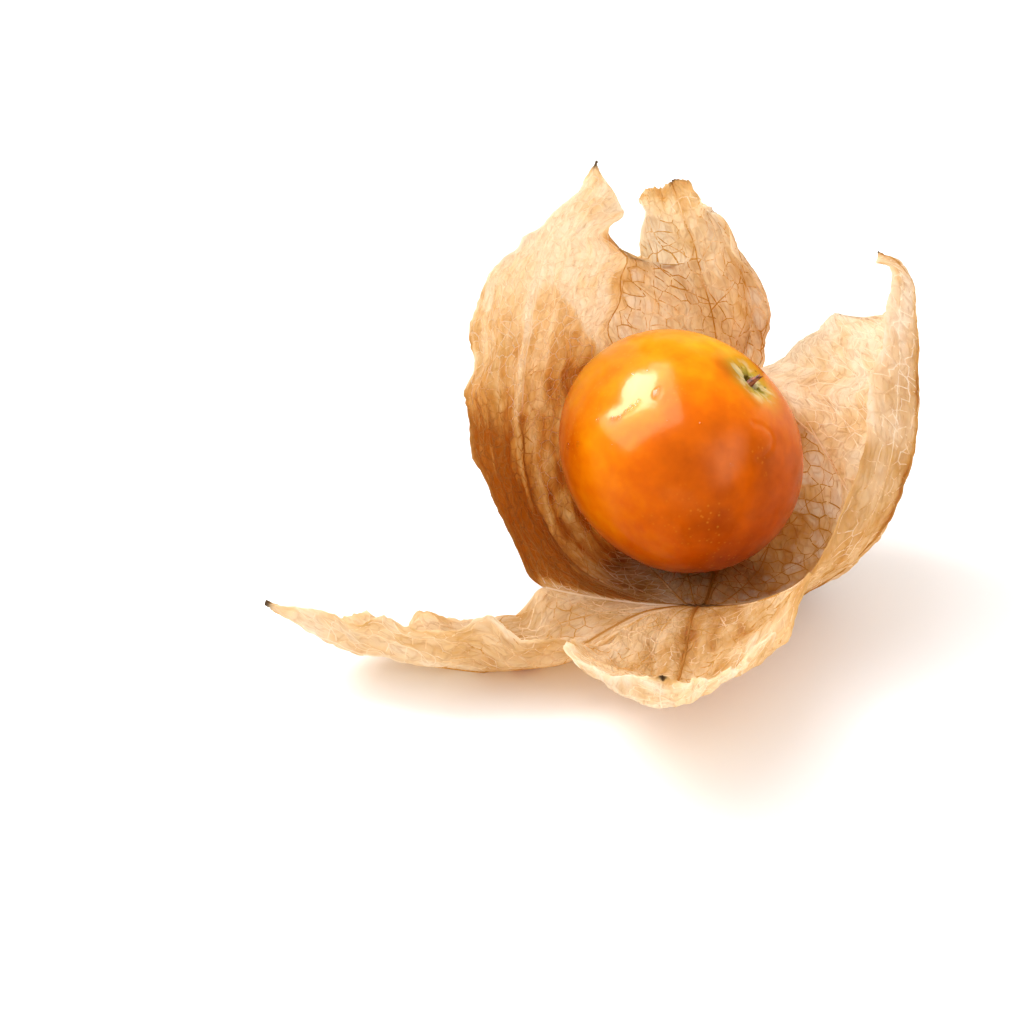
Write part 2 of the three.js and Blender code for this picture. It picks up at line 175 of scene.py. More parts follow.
def lantern_radius(share):
    return np.interp(share, np.linspace(0, 1, RIB_STEPS + 1), LANTERN)


def each(a):
    """Makes a value for each point ready to multiply vectors."""
    return np.asarray(a)[..., None]


def midrib_frame(lobe, share):
    """Directions at each share of the midrib: along it, across it, and out of the husk."""
    turn = lobe["azimuth"] * RAD
    outward = ACROSS * math.cos(turn) + BACKWARD * math.sin(turn)
    around = BACKWARD * math.cos(turn) - ACROSS * math.sin(turn)
    low, middle, tip = lobe["opened"]
    peeled = low * smooth(0, 0.35, share) + middle * smooth(0.3, 0.75, share) + tip * smooth(0.75, 1, share)
    slope = each((curve_through(RIB_SLOPE, share) - peeled) * RAD)
    low, high = lobe["swayed"]
    sway = each((low * smooth(0, 0.5, share) + high * smooth(0.5, 1, share)) * RAD)
    roll = each(lobe["rolled"] * smooth(0.1, 0.7, share) * RAD)
    climb = outward * np.cos(slope) + AXIS * np.sin(slope)
    face = outward * np.sin(slope) - AXIS * np.cos(slope)
    along = climb * np.cos(sway) + around * np.sin(sway)
    side = around * np.cos(sway) - climb * np.sin(sway)
    across = side * np.cos(roll) + face * np.sin(roll)
    out = face * np.cos(roll) - side * np.sin(roll)
    return along, across, out


def midrib_points(lobe, share):
    """Points along the midrib. Past its end they run straight on."""
    along, _, _ = midrib_frame(lobe, (np.arange(RIB_STEPS) + 0.5) / RIB_STEPS)
    length = LOBE_LENGTH * lobe["length"]
    path = HUSK_BASE + np.vstack([np.zeros(3), np.cumsum(along * length / RIB_STEPS, axis=0)])
    at = np.linspace(0, 1, RIB_STEPS + 1)
    points = np.stack([np.interp(share, at, path[:, i]) for i in range(3)], axis=-1)
    return points + along[-1] * each(np.maximum(share - 1, 0) * length)


def half_width(lobe, side, share):
    """Half width of a lobe on its side -1 or 1. Near the base it reaches half way to its neighbour."""
    neighbour = LOBES[(LOBES.index(lobe) + side) % LOBE_COUNT]
    between = abs(lobe["azimuth"] - neighbour["azimuth"])
    reach = min(min(between, 360 - between) * RAD / 2, math.pi / LOBE_COUNT)
    keys = [(0, 0), (0.15, lantern_radius(0.15) * reach), (0.3, lantern_radius(0.3) * reach)]
    keys += zip(WIDTH_AT, lobe["before"] if side < 0 else lobe["after"])
    keys += [(1, lobe["tip"][side > 0])]
    flap = lobe["flap"] * np.exp(-(((share - FLAP_AT) / FLAP_LENGTH) ** 2)) * (side < 0)
    return curve_through(keys, share) + flap


def both_widths(lobe, share, v):
    return np.where(v < 0, half_width(lobe, -1, share), half_width(lobe, 1, share))


def lobe_points(lobe, share, v):
    """Points of one lobe before it is joined to the others, for rows of share and columns of v."""
    share, v = np.meshgrid(share, v, indexing="ij")
    if LOBES.index(lobe) == TORN_LOBE:
        frayed = 0.003 * np.sin(31 * v) + 0.002 * np.sin(57 * v + 1)
        share = share + (curve_through(TORN_END, v) + frayed) * smooth(0.86, 1, share)
        point = 1
    else:
        to_tip = np.clip((share - lobe["point"]) / (1 - lobe["point"]), 0, 1)
        point = np.maximum((1 - to_tip ** 1.6) ** 0.75, 0.1)
    along, across, out = midrib_frame(lobe, share)
    seed = lobe["phase"]
    uncut = both_widths(lobe, share, v)
    free = smooth(0.3, 0.6, share) * (1 - smooth(0.8, 0.97, share)) * np.minimum(uncut / BROAD, 1)
    tear = 1 + EDGE_TEAR * free * (np.sin(41 * share + seed) + np.sin(67 * share + 2 * seed + v))
    ragged = np.sin(173 * share + seed) + np.sin(281 * share + 3 * seed) + np.sin(467 * share)
    width = uncut * tear * point - FINE_TEAR / 3 * ragged * free * np.abs(v) ** 6
    cup = 1 + (lobe["cup"] - 1) * smooth(0.2, 0.6, share)
    bend = np.maximum(lantern_radius(share), SMALLEST_BEND) / cup
    angle = np.clip(width * v / bend, -1.5, 1.5)
    keel = lobe["keel"] * smooth(0.3, 0.6, share) * (1 - smooth(0.85, 1, share))
    fold = keel * (np.hypot(width * v, KEEL_ROUND) - KEEL_ROUND)
    wave = EDGE_WAVE * free * np.abs(v) ** 2.5 * np.sin(36 * share + 2.6 * v + seed)
    pleat = lobe["pleat"] * free * np.sin(9.5 * v + 5 * share + seed) * (1 - v * v * 0.4)
    depth = bend * (1 - np.cos(angle)) + fold + wave + pleat
    slope = curve_through(RIB_SLOPE, share) * RAD
    return (midrib_points(lobe, share) + across * each(bend * np.sin(angle))
            - along * each(depth * np.cos(slope)) - out * each(depth * np.sin(slope)))


def room_round_berry(points):
    """How far points are from the berry's middle, as a share of where the solid paper must lie."""
    clear = SOLID_PAPER / 2 + NET_RELIEF + GAP
    offset = points - BERRY_CENTRE
    along = offset @ SCAR_AXIS
    outward = np.sqrt(np.maximum((offset ** 2).sum(-1) - along ** 2, 0))
    return np.hypot(along / (BERRY_HEIGHT / 2 + clear), outward / (BERRY_WIDTH / 2 + clear))


def lay_against(points):
    """The paper lies against the berry where it would touch it, and flat on the surface below."""
    points = BERRY_CENTRE + (points - BERRY_CENTRE) / each(np.minimum(room_round_berry(points), 1))
    points[..., 2] = np.maximum(points[..., 2], SOLID_PAPER / 2)
    return points


def joined_rows(lobe):
    """Rows of the solid over which a lobe is one sheet with the next one."""
    return math.floor(SOLID_ROWS * (lobe["joined"] - FIRST_ROW) / (1 - FIRST_ROW) + 0.5)


def joined_lobe(k):
    """Points of lobe k once its edges are drawn together with its neighbours'."""
    lobe = LOBES[k]
    points = lobe_points(lobe, row_share, column_v)
    _, across, _ = midrib_frame(lobe, row_share)
    for side in (-1, 1):
        neighbour = LOBES[(k + side) % LOBE_COUNT]
        pair = neighbour if side < 0 else lobe
        own_edge = lobe_points(lobe, row_share, np.array([float(side)]))
        other_edge = lobe_points(neighbour, row_share, np.array([float(-side)]))
        held = 1 - smooth(pair["joined"], pair["joined"] + pair["fade"], row_share)
        rows_apart = np.clip(np.arange(ROWS + 1) / FINER - joined_rows(pair), 0, SPLIT_ROWS)
        pull = (other_edge[:, 0] - own_edge[:, 0]) / 2 - across * each(side * SPLIT_STEP * rows_apart)
        share_of_pull = np.where(column_v * side > 0, np.abs(column_v) ** EDGE_PULL, 0)
        points += (pull * each(held))[:, None] * share_of_pull[None, :, None]
    return lay_against(points)


def sheet_index():
    """Number of each point of the sheet, by lobe, row and column, with the joined edges shared."""
    shared = [joined_rows(LOBES[k - 1]) * FINER + 1 for k in range(LOBE_COUNT)]
    own = np.ones((LOBE_COUNT, ROWS + 1, COLUMNS + 1), bool)
    for k, rows in enumerate(shared):
        own[k, :rows, 0] = False
    index = np.cumsum(own).reshape(own.shape)
    for k, rows in enumerate(shared):
        index[k, :rows, 0] = index[k - 1, :rows, COLUMNS]
    return index, int(own.sum()) + 1


def point_normals(points, triangles):
    corners = points[triangles]
    facing = np.cross(corners[:, 1] - corners[:, 0], corners[:, 2] - corners[:, 0])
    normals = np.zeros_like(points)
    for corner in range(3):
        np.add.at(normals, triangles[:, corner], facing)
    return normals / np.linalg.norm(normals, axis=1)[:, None]


def crease_heights(places):
    """Height of dried creases at places given as (across, along, lobe): mostly lengthwise folds."""
    scaled = places / np.array([CREASE_WIDE, CREASE_LONG, 1])
    heights = np.empty(len(places))
    for i, place in enumerate(scaled):
        fold = 0.5 - 2.2 * abs(noise.noise(Vector(place)))
        dent = noise.noise(Vector((place[0] * 0.8 + 40, place[1] * 3.2, place[2])))
        wrinkle = 0.3 - abs(noise.noise(Vector((place[0] * 2.6 + 9, place[1] * 3.1, place[2]))))
        heights[i] = fold * 0.8 + dent * 0.7 + wrinkle * 0.45
    return heights


def cell_seeds(lobe, coarser=1):
    """Middles of the net's meshes, as places across and along a lobe, jittered off a grid."""
    long, wide = np.array(lobe["cell"]) * coarser
    rows = int(LOBE_LENGTH * lobe["length"] / long * 2) + 4
    columns = int(NET_HALF / wide) + 2
    row, column = np.mgrid[0:rows, -columns:columns + 1]
    jitter = random.uniform(-SEED_JITTER, SEED_JITTER, (2, *row.shape))
    x = (column + row % 2 / 2 + jitter[0]) * wide
    y = (row / 2 - 1 + jitter[1] / 2) * long
    return np.stack([x, y], axis=-1).reshape(-1, 2)


def nearest_cells(places, seeds):
    """For each place, the number of the nearest seed, and how much nearer it is than the next."""
    nearest = np.empty(len(places), int)
    lead = np.empty(len(places))
    for start in range(0, len(places), BLOCK):
        block = slice(start, start + BLOCK)
        distances = np.linalg.norm(places[block, None] - seeds[None], axis=-1)
        nearest[block] = distances.argmin(axis=1)
        closest = np.partition(distances, 1, axis=1)
        lead[block] = closest[:, 1] - closest[:, 0]
    return nearest, lead


row_share = FIRST_ROW + (1 - FIRST_ROW) * np.arange(ROWS + 1) / ROWS
column_v = np.linspace(-1, 1, COLUMNS + 1)
grid_share, grid_v = np.meshgrid(row_share, column_v, indexing="ij")
index, point_count = sheet_index()
sheet = np.zeros((point_count, 3))
sheet[0] = HUSK_BASE
crumple = np.zeros(point_count)
net_seeds, lobe_places, lobe_zones, lobe_cells = [], [], [], []
for k, lobe in enumerate(LOBES):
    sheet[index[k]] = joined_lobe(k)
    width = both_widths(lobe, grid_share, grid_v)
    from_edge = width * (1 - np.abs(grid_v))
    across_mm, along_mm = width * grid_v, grid_share * LOBE_LENGTH * lobe["length"]
    place = np.stack([across_mm, along_mm, 0 * width + 40 * k], axis=-1)
    joins = np.where(grid_v < 0, LOBES[k - 1]["joined"], lobe["joined"])
    loose = smooth(joins, joins + 0.04, grid_share)
    inward = np.maximum(loose, smooth(0, 1.6, from_edge))
    heights = crease_heights(place.reshape(-1, 3)).reshape(width.shape)
    seeds = cell_seeds(lobe)
    nearest, lead = nearest_cells(place.reshape(-1, 3)[:, :2], seeds)
    tones = random.uniform(0, 1, len(seeds))[nearest].reshape(width.shape)
    by_vein = np.exp(-(lead / VEIN_REACH)).reshape(width.shape)
    raised = lobe["creased"] * heights + PUFF * (1 - by_vein)
    crumple[index[k]] = raised * inward * smooth(0.08, 0.3, grid_share)

    # each lobe is browner towards its base; on the back left lobe that brown is partly painted shade beside
    # the berry
    at_base, at_tip, beyond = lobe["brown"]
    brown = at_base + (at_tip - at_base) * smooth(0.36, 0.74, grid_share)
    brown = brown + beyond * smooth(0, 0.3, grid_v) * (1 - smooth(0.7, 0.9, grid_share))
    if k == PLEATED_LOBE:
        past_pleat = across_mm - np.interp(grid_share, *np.transpose(PLEAT_EDGE))
        under = smooth(-0.12, 0.2, past_pleat) * smooth(0.3, -0.1, across_mm)
        under = under * smooth(PLEAT_EDGE[-1][0], PLEAT_EDGE[-1][0] - 0.03, grid_share)
        crumple[index[k]] -= 0.3 * under * smooth(0.5, 0.56, grid_share)
        # painted shade: the paper under the folded pleat is made browner
        brown = brown + 0.42 * under * smooth(0.45, 0.6, grid_share)
    brown = 0.55 + (brown - 0.55) * np.maximum(inward, 0.2)
    rim = np.exp(-(from_edge / 0.35) ** 2) * loose
    point = smooth(0.982, 0.997, grid_share)
    if k == TORN_LOBE:
        point = point * np.exp(-(((grid_v + 0.25) / 0.22) ** 2))
    ribbed = 0.35 + (lobe["rib"] - 0.35) * smooth(0.45, 0.7, grid_share)
    ribbed = ribbed * np.exp(-((across_mm / 0.3) ** 2))
    brown = brown + 0.25 * smooth(0.93, 0.98, grid_share) + ribbed
    dark = point + (1 - smooth(0.02, 0.05, grid_share))
    zone = np.stack([rim, np.clip(dark, 0, 1), brown], axis=-1)

    net_seeds.append(seeds)
    lobe_places.append(place)
    lobe_zones.append(zone)
    bleached = lobe["windows"] * smooth(0.3, 0.75, np.abs(grid_v)) * (1 - smooth(0.72, 0.9, grid_share))
    lobe_cells.append(np.stack([tones, by_vein, bleached], axis=-1))


def face_corners(grids):
    """What the lobes' grids hold at the corners of their four-sided faces, and of a fan below them."""
    sides = [grids[:, :-1, :-1], grids[:, :-1, 1:], grids[:, 1:, 1:], grids[:, 1:, :-1]]
    fan = [grids[:, 0, 1:], grids[:, 0, 1:], grids[:, 0, :-1]]
    held = grids.shape[3:]
    return np.stack(sides, axis=3).reshape(-1, 4, *held), np.stack(fan, axis=2).reshape(-1, 3, *held)


quads, centre_fan = face_corners(index)
centre_fan[:, 0] = 0
triangles = np.concatenate([quads[:, [0, 1, 2]], quads[:, [0, 2, 3]], centre_fan])

# The paper lies in the outer half of the solid, but close to the berry in its inner half.
sheet_normals = point_normals(sheet, triangles)
spare = (SOLID_PAPER - PAPER) / 2
away = smooth(1.0, 1.12, room_round_berry(sheet)) * 2 - 1
crumple *= smooth(0.4, 3, sheet[:, 2]) * (0.4 + 0.3 * (away + 1))
sheet += sheet_normals * each(crumple + spare * away)
sheet_normals = point_normals(sheet, triangles)
lowest, highest = np.array(cad_low) / MM, np.array(cad_high) / MM
above_floor = lowest + np.array([0, 0, UNDER_PAPER])
sheet = np.clip(sheet, above_floor + PAPER / 2, highest - PAPER / 2)
both_faces = np.concatenate([sheet + sheet_normals * PAPER / 2, sheet - sheet_normals * PAPER / 2])
both_faces = np.clip(both_faces, above_floor, highest)

edge_from = np.concatenate([triangles[:, [0, 1]], triangles[:, [1, 2]], triangles[:, [2, 0]]])
edge_keys = edge_from[:, 0] * point_count + edge_from[:, 1]
opposite_keys = edge_from[:, 1] * point_count + edge_from[:, 0]
rim_edges = edge_from[~np.isin(edge_keys, opposite_keys)]
rim_quads = np.stack([rim_edges[:, 1], rim_edges[:, 0],
                      rim_edges[:, 0] + point_count, rim_edges[:, 1] + point_count], axis=-1)
faces = quads.tolist() + centre_fan.tolist()
faces += (quads[:, ::-1] + point_count).tolist() + (centre_fan[:, ::-1] + point_count).tolist()
faces += rim_quads.tolist()


def corner_values(by_lobe):
    """Spreads values on each lobe's grid to the corners of the paper's faces, in their order."""
    of_point = np.zeros((point_count, 3))
    for k, values in enumerate(by_lobe):
        of_point[index[k]] = values
    on_quads, on_fan = face_corners(np.array(by_lobe))
    parts = (on_quads, on_fan, on_quads[:, ::-1], on_fan[:, ::-1], of_point[rim_quads % point_count])
    return np.concatenate([part.reshape(-1, 3) for part in parts])


def add_piece(name, data, slot_name, *nodes):
    """Puts a piece on the object, where it rides on the only body and stands for its CAD nodes."""
    piece = bpy.data.objects.new(name, data)
    bpy.context.scene.collection.objects.link(piece)
    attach(piece, "root")
    if nodes:
        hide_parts(*nodes)
    return piece


def smooth_mesh(name, points, faces):
    """A smooth-shaded mesh from points in millimetres."""
    mesh = bpy.data.meshes.new(name)
    mesh.from_pydata((np.asarray(points) * MM).tolist(), [], faces)
    mesh.polygons.foreach_set("use_smooth", np.ones(len(mesh.polygons), bool))
    mesh.update()
    return mesh


def store_values(mesh, name, values, domain):
    """Stores three values for each point or face corner of a mesh, for its material to read."""
    attribute = mesh.attributes.new(name, "FLOAT_VECTOR", domain)
    attribute.data.foreach_set("vector", np.ascontiguousarray(values, np.float32).ravel())


husk_mesh = smooth_mesh("husk_paper", both_faces, faces)
store_values(husk_mesh, "husk_place", corner_values(lobe_places), "CORNER")
store_values(husk_mesh, "husk_zone", corner_values(lobe_zones), "CORNER")
store_values(husk_mesh, "husk_cell", corner_values(lobe_cells), "CORNER")
husk_paper = add_piece("husk_paper", husk_mesh, "husk_paper", "husk")


def hex_colour(code):
    """A colour written as sRGB hex, as the linear colour that a shader takes."""
    channels = [int(code[i:i + 2], 16) / 255 for i in (1, 3, 5)]
    return (*[c / 12.92 if c <= 0.04045 else ((c + 0.055) / 1.055) ** 2.4 for c in channels], 1)


def add_node(owner, kind, settings=None, **links):
    """Adds one node to a material or world. Links are input names, or _ and a number, with the socket
    or value that each takes."""
    node = owner.node_tree.nodes.new("ShaderNode" + kind)
    for key, value in (settings or {}).items():
        setattr(node, key, value)
    for name, value in links.items():
        socket = node.inputs[int(name[1:]) if name[1:].isdigit() else name.replace("_", " ")]
        if isinstance(value, bpy.types.NodeSocket):
            owner.node_tree.links.new(value, socket)
        else:
            socket.default_value = value
    return node


def new_material(name):
    material = bpy.data.materials.new(name)
    material.use_nodes = True
    material.node_tree.nodes.clear()
    return material


def colour_steps(material, fac, steps):
    """A run of colours through pairs of (place, hex colour)."""
    ramp = add_node(material, "ValToRGB", Fac=fac)
    elements = ramp.color_ramp.elements
    while len(elements) < len(steps):
        elements.new(0.5)
    for element, (place, code) in zip(elements, steps):
        element.position = place
        element.color = hex_colour(code)
    return ramp.outputs["Color"]


def sums(material, *terms):
    """Adds up values, each times its weight, with a constant last: (socket, weight), ..., constant."""
    total = terms[-1]
    for socket, weight in terms[:-1]:
        total = add_node(material, "Math", {"operation": "MULTIPLY_ADD"},
                         _0=socket, _1=weight, _2=total).outputs[0]
    return total


def blended(material, share, colour, other):
    """Mixes another colour, a socket or hex, into a colour by a share."""
    other = hex_colour(other) if isinstance(other, str) else other
    return add_node(material, "Mix", {"data_type": "RGBA"}, _0=share, _6=colour, _7=other).outputs[2]


def stored(material, name):
    """The three values that a mesh holds under a name."""
    values = add_node(material, "Attribute", {"attribute_name": name}).outputs["Vector"]
    return add_node(material, "SeparateXYZ", Vector=values).outputs


def finish_material(material, shader, glow=None):
    """Makes a shader the material's surface. With a glow, light from behind shines through too."""
    if glow:
        shader = add_node(material, "MixShader", _0=LET_THROUGH, _1=shader.outputs[0], _2=glow.outputs[0])
    add_node(material, "OutputMaterial", Surface=shader.outputs[0])
    return material


def dried_calyx_paper():
    """Dried calyx paper: the leaf's skin left between its veins. It is matt and fibrous, straw in colour
    with brown blotches and paler meshes, lets light through, and is pale where torn. Some of its brown is
    painted shade: under the folded pleat, and low on the back left lobe beside the berry."""
    m = new_material("dried calyx paper")
    place = add_node(m, "TexCoord").outputs["Object"]
    lie = add_node(m, "Attribute", {"attribute_name": "husk_place"}).outputs["Vector"]
    rim, dark, brown = stored(m, "husk_zone")
    tone, by_vein, bleached = stored(m, "husk_cell")
    blotch_mm, mottle_mm, streak_mm, fibre_mm = 5.0, 0.5, (0.8, 4.5), (0.16, 1.0)
    blotch = add_node(m, "TexNoise", Vector=place, Scale=1000 / blotch_mm, Detail=4.0).outputs["Fac"]
    streak_place = add_node(m, "VectorMath", {"operation": "MULTIPLY"},
                            _0=lie, _1=(1 / streak_mm[0], 1 / streak_mm[1], 1.0)).outputs[0]
    streak = add_node(m, "TexNoise", Vector=streak_place, Scale=1.0, Detail=3.0).outputs["Fac"]
    age = sums(m, (blotch, 1.3), (streak, 1.0), (tone, 0.14), (brown, 1.0), -1.24)
    colour = colour_steps(m, age, [(0.0, "#f2e6d2"), (0.3, "#edd8b4"), (0.6, "#e6c892"),
                                   (0.8, "#dbab5c"), (1.0, "#bc7518")])
    mottle = add_node(m, "TexNoise", Vector=place, Scale=1000 / mottle_mm, Detail=3.0).outputs["Fac"]
    mottle = add_node(m, "MapRange", Value=mottle, From_Min=0.42, From_Max=0.6,
                      To_Max=sums(m, (brown, -0.4), 0.42)).outputs["Result"]
    colour = blended(m, mottle, colour, "#e8cdb4")

    # the finest meshes, drawn at about twice their real size, so that they show
    mesh_wide_mm, mesh_long_mm, bend_mm = 0.62, 1.25, 1.2
    bent = add_node(m, "TexNoise", Vector=place, Scale=1000 / bend_mm, Detail=1.0).outputs["Color"]
    bent = add_node(m, "VectorMath", {"operation": "MULTIPLY_ADD"}, _0=bent, _1=(0.6, 0.9, 0), _2=lie)
    bent = add_node(m, "VectorMath", {"operation": "MULTIPLY"},
                    _0=bent.outputs[0], _1=(1 / mesh_wide_mm, 1 / mesh_long_mm, 1.0)).outputs[0]
    mesh_line = add_node(m, "TexVoronoi", {"feature": "DISTANCE_TO_EDGE"}, Vector=bent, Scale=1.0)
    mesh_line = add_node(m, "MapRange", {"interpolation_type": "SMOOTHSTEP"},
                         Value=mesh_line.outputs["Distance"], From_Min=0.02, From_Max=0.12,
                         To_Min=1.0, To_Max=0.0).outputs["Result"]
    window = add_node(m, "MapRange", Value=sums(m, (tone, 1.0), (by_vein, -0.5), (bleached, 1.0), -1.0),
                      From_Min=0.2, From_Max=0.5, To_Max=0.75)
    colour = blended(m, window.outputs["Result"], colour, "#f3eade")
    colour = blended(m, sums(m, (mesh_line, 0.3), 0.0), colour, "#c99a5c")
    vein = colour_steps(m, age, [(0.1, "#fdf2de"), (0.35, "#fbe4bf"), (0.6, "#e0b878"), (1.0, "#c08a42")])
    colour = blended(m, sums(m, (by_vein, 0.6), 0.0), colour, vein)

    fibre_place = add_node(m, "VectorMath", {"operation": "MULTIPLY"},
                           _0=lie, _1=(1 / fibre_mm[0], 1 / fibre_mm[1], 1.0)).outputs[0]
    fibre = add_node(m, "TexNoise", Vector=fibre_place, Scale=1.0, Detail=3.0).outputs["Fac"]
    fleck = add_node(m, "MapRange", Value=fibre, From_Min=0.58, From_Max=0.8, To_Max=0.65)
    colour = blended(m, fleck.outputs["Result"], colour, "#b57f3c")
    colour = blended(m, sums(m, (rim, 0.8), 0.0), colour, vein)
    colour = blended(m, dark, colour, "#5c4024")
    height = sums(m, (mesh_line, 0.5), (fibre, 1.0), (mottle, 1.2), 0.0)
    bump = add_node(m, "Bump", Strength=0.7, Distance=0.00012, Height=height)
    paper = add_node(m, "BsdfPrincipled", Base_Color=colour, Roughness=0.6,
                     IOR=1.4, Specular_IOR_Level=0.12, Normal=bump.outputs["Normal"])
    through = blended(m, sums(m, (brown, -0.35), 0.32), colour, "#fff2d8")
    glow = add_node(m, "BsdfTranslucent", Color=through, Normal=bump.outputs["Normal"])
    return finish_material(m, paper, glow)


husk_paper.data.materials.append(dried_calyx_paper())

# ---- husk veins ----
# What is left of the leaf's veins stiffens the paper: a midrib in each lobe, a rib along each
# seam, side ribs and slanting laterals, and between them a net of meshes within larger meshes.
RIB_SIDES = 8
NET_SIDES = 6
VEIN_STEP = 0.45  # length of one straight piece of a vein
# half width of each kind of vein, and how far it stands up from the paper
MIDRIB, SEAM, SIDE_RIB, LATERAL = (0.15, 0.12), (0.11, 0.08), (0.085, 0.055), (0.07, 0.045)
COARSE_NET, MIDDLE_NET, FINE_NET = (0.07, 0.035), (0.056, 0.028), (0.042, 0.02)
LATERAL_SPACING = 4.4  # along the midrib
RIB_END, SIDE_RIB_END, NET_END = 0.985, 0.86, 0.97  # shares of the length where they end
NET_EDGE = 0.985  # share of the half width where the net ends
SHORTEST_SIDE = 0.12  # of a mesh: a shorter one is left out
MIDDLE_TIMES, COARSE_TIMES = 1.9, 3.6  # size of the middle and coarse meshes, in fine ones
sheet_grids, normal_grids = sheet[index], sheet_normals[index]


def on_grid(grid, share, v):
    """Values of one lobe's grid at shares of its length and places across it."""
    row = np.clip((share - FIRST_ROW) / (1 - FIRST_ROW), 0, 1) * ROWS
    column = np.clip((v + 1) / 2, 0, 1) * COLUMNS
    r, c = np.minimum(row.astype(int), ROWS - 1), np.minimum(column.astype(int), COLUMNS - 1)
    fr, fc = each(row - r), each(column - c)
    low = grid[r, c] * (1 - fc) + grid[r, c + 1] * fc
    high = grid[r + 1, c] * (1 - fc) + grid[r + 1, c + 1] * fc
    return low * (1 - fr) + high * fr


class Veins:
    """Collects the veins of one lobe as flattened tubes that show on both faces of its paper."""

    def __init__(self, k):
        self.k, self.points, self.faces, self.zones, self.count = k, [], [], [], 0

    def add(self, share, v, size, taper, sides):
        k, count = self.k, len(share)
        middle = on_grid(sheet_grids[k], share, v)
        normal = on_grid(normal_grids[k], share, v)
        ahead = np.gradient(middle, axis=0)
        beside = np.cross(ahead, normal)
        beside /= np.maximum(np.linalg.norm(beside, axis=1), 1e-9)[:, None]
        angle = np.arange(sides) * 2 * math.pi / sides
        half_width_mm, relief = size
        flat = each(half_width_mm * taper) * np.cos(angle)
        tall = each(PAPER / 2 + relief * taper) * np.sin(angle)
        ring = middle[:, None] + beside[:, None] * each(flat) + normal[:, None] * each(tall)
        self.points.append(ring.reshape(-1, 3))
        number = self.count + np.arange(count * sides).reshape(count, sides)
        after = np.roll(number, -1, axis=1)
        around = np.stack([number[:-1], after[:-1], after[1:], number[1:]], axis=-1)
        self.faces += around.reshape(-1, 4).tolist() + [number[0, ::-1].tolist(), number[-1].tolist()]
        zone = on_grid(lobe_zones[k], share, v) + np.array([0, 0, LOBES[k]["vein"]])
        self.zones.append(np.repeat(zone, sides, axis=0))
        self.count += count * sides


def add_ribs(veins):
    """The ribs of one lobe: midrib, seam to the next lobe, side ribs and laterals."""
    k = veins.k
    lobe = LOBES[k]
    length = LOBE_LENGTH * lobe["length"]
    share = np.linspace(FIRST_ROW, RIB_END, int(length / VEIN_STEP))
    veins.add(share, 0 * share, MIDRIB, 1 - 0.65 * share, RIB_SIDES)
    seam = np.linspace(FIRST_ROW, row_share[joined_rows(lobe) * FINER], 60)
    veins.add(seam, 0 * seam + 1, SEAM, 1 - 0.4 * seam, RIB_SIDES)
    for side in (-1, 1):
        reach = np.linspace(FIRST_ROW, SIDE_RIB_END, 70)
        place = side * (0.5 + 0.05 * np.sin(9 * reach + 2 * k) + 0.12 * smooth(0.4, SIDE_RIB_END, reach))
        veins.add(reach, place, SIDE_RIB, 1 - 0.7 * reach, RIB_SIDES)
        start = LATERAL_SPACING * (1.2 if side < 0 else 1.7)
        while start < length * 0.9:
            across = np.linspace(0, 12, 36)
            wave = 0.16 * np.sin(across * 2 + random.uniform(0, 6))
            reach = (start + 0.85 * across + 0.05 * across ** 2 + wave) / length
            edge = half_width(lobe, side, reach)
            inside = (across < edge * 0.97) & (reach < NET_END)
            if inside.sum() > 3:
                taper = 1 - 0.6 * across[inside] / across[inside][-1]
                veins.add(reach[inside], side * across[inside] / edge[inside], LATERAL, taper, RIB_SIDES)
            start += LATERAL_SPACING * random.uniform(0.85, 1.15)


def circle_centres(a, b, c):
    """Centres of the circles through three points each."""
    (bx, by), (cx, cy) = (b - a).T, (c - a).T
    bb, cc = bx ** 2 + by ** 2, cx ** 2 + cy ** 2
    offset = np.stack([cy * bb - by * cc, bx * cc - cx * bb], axis=-1)
    return a + offset / each(2 * (bx * cy - by * cx))


def net_sides(seeds):
    """The sides of the net's meshes: pairs of ends, and the two seeds that each one parts."""
    corners = np.array(geometry.delaunay_2d_cdt([Vector(seed) for seed in seeds], [], [], 0, 1e-6)[2])
    centres = circle_centres(*seeds[corners.T])
    beside = {}
    for number, (a, b, c) in enumerate(corners.tolist()):
        for one, two in ((a, b), (b, c), (c, a)):
            beside.setdefault((min(one, two), max(one, two)), []).append(number)
    return [(centres[pair[0]], centres[pair[1]], key) for key, pair in beside.items() if len(pair) == 2]


def add_net(veins):
    """The net of one lobe. Its veins are wider where they also part the larger meshes."""
    k = veins.k
    lobe = LOBES[k]
    length = LOBE_LENGTH * lobe["length"]
    seeds = net_seeds[k]
    coarse = nearest_cells(seeds, cell_seeds(lobe, COARSE_TIMES))[0]
    middle = nearest_cells(seeds, cell_seeds(lobe, MIDDLE_TIMES))[0]
    for start, end, (one, two) in net_sides(seeds):
        span = np.linalg.norm(end - start)
        if span < SHORTEST_SIDE or span > 3 * lobe["cell"][0]:
            continue
        t = each(np.linspace(0, 1, max(2, round(span / VEIN_STEP) + 1)))
        sag = np.array([start[1] - end[1], end[0] - start[0]]) * random.uniform(-0.12, 0.12)
        line = start + (end - start) * t + sag * np.sin(math.pi * t)
        share = line[:, 1] / length
        v = line[:, 0] / np.maximum(both_widths(lobe, share, line[:, 0]), 0.1)
        inside = (np.abs(v) < NET_EDGE) & (share > FIRST_ROW) & (share < NET_END)
        if inside.sum() < 2 or (not inside.all() and inside[0] == inside[-1]):
            continue
        size = FINE_NET
        if middle[one] != middle[two]:
            size = MIDDLE_NET
        if coarse[one] != coarse[two]:
            size = COARSE_NET
        taper = np.full(inside.sum(), random.uniform(0.8, 1.15))
        veins.add(share[inside], v[inside], size, taper, NET_SIDES)


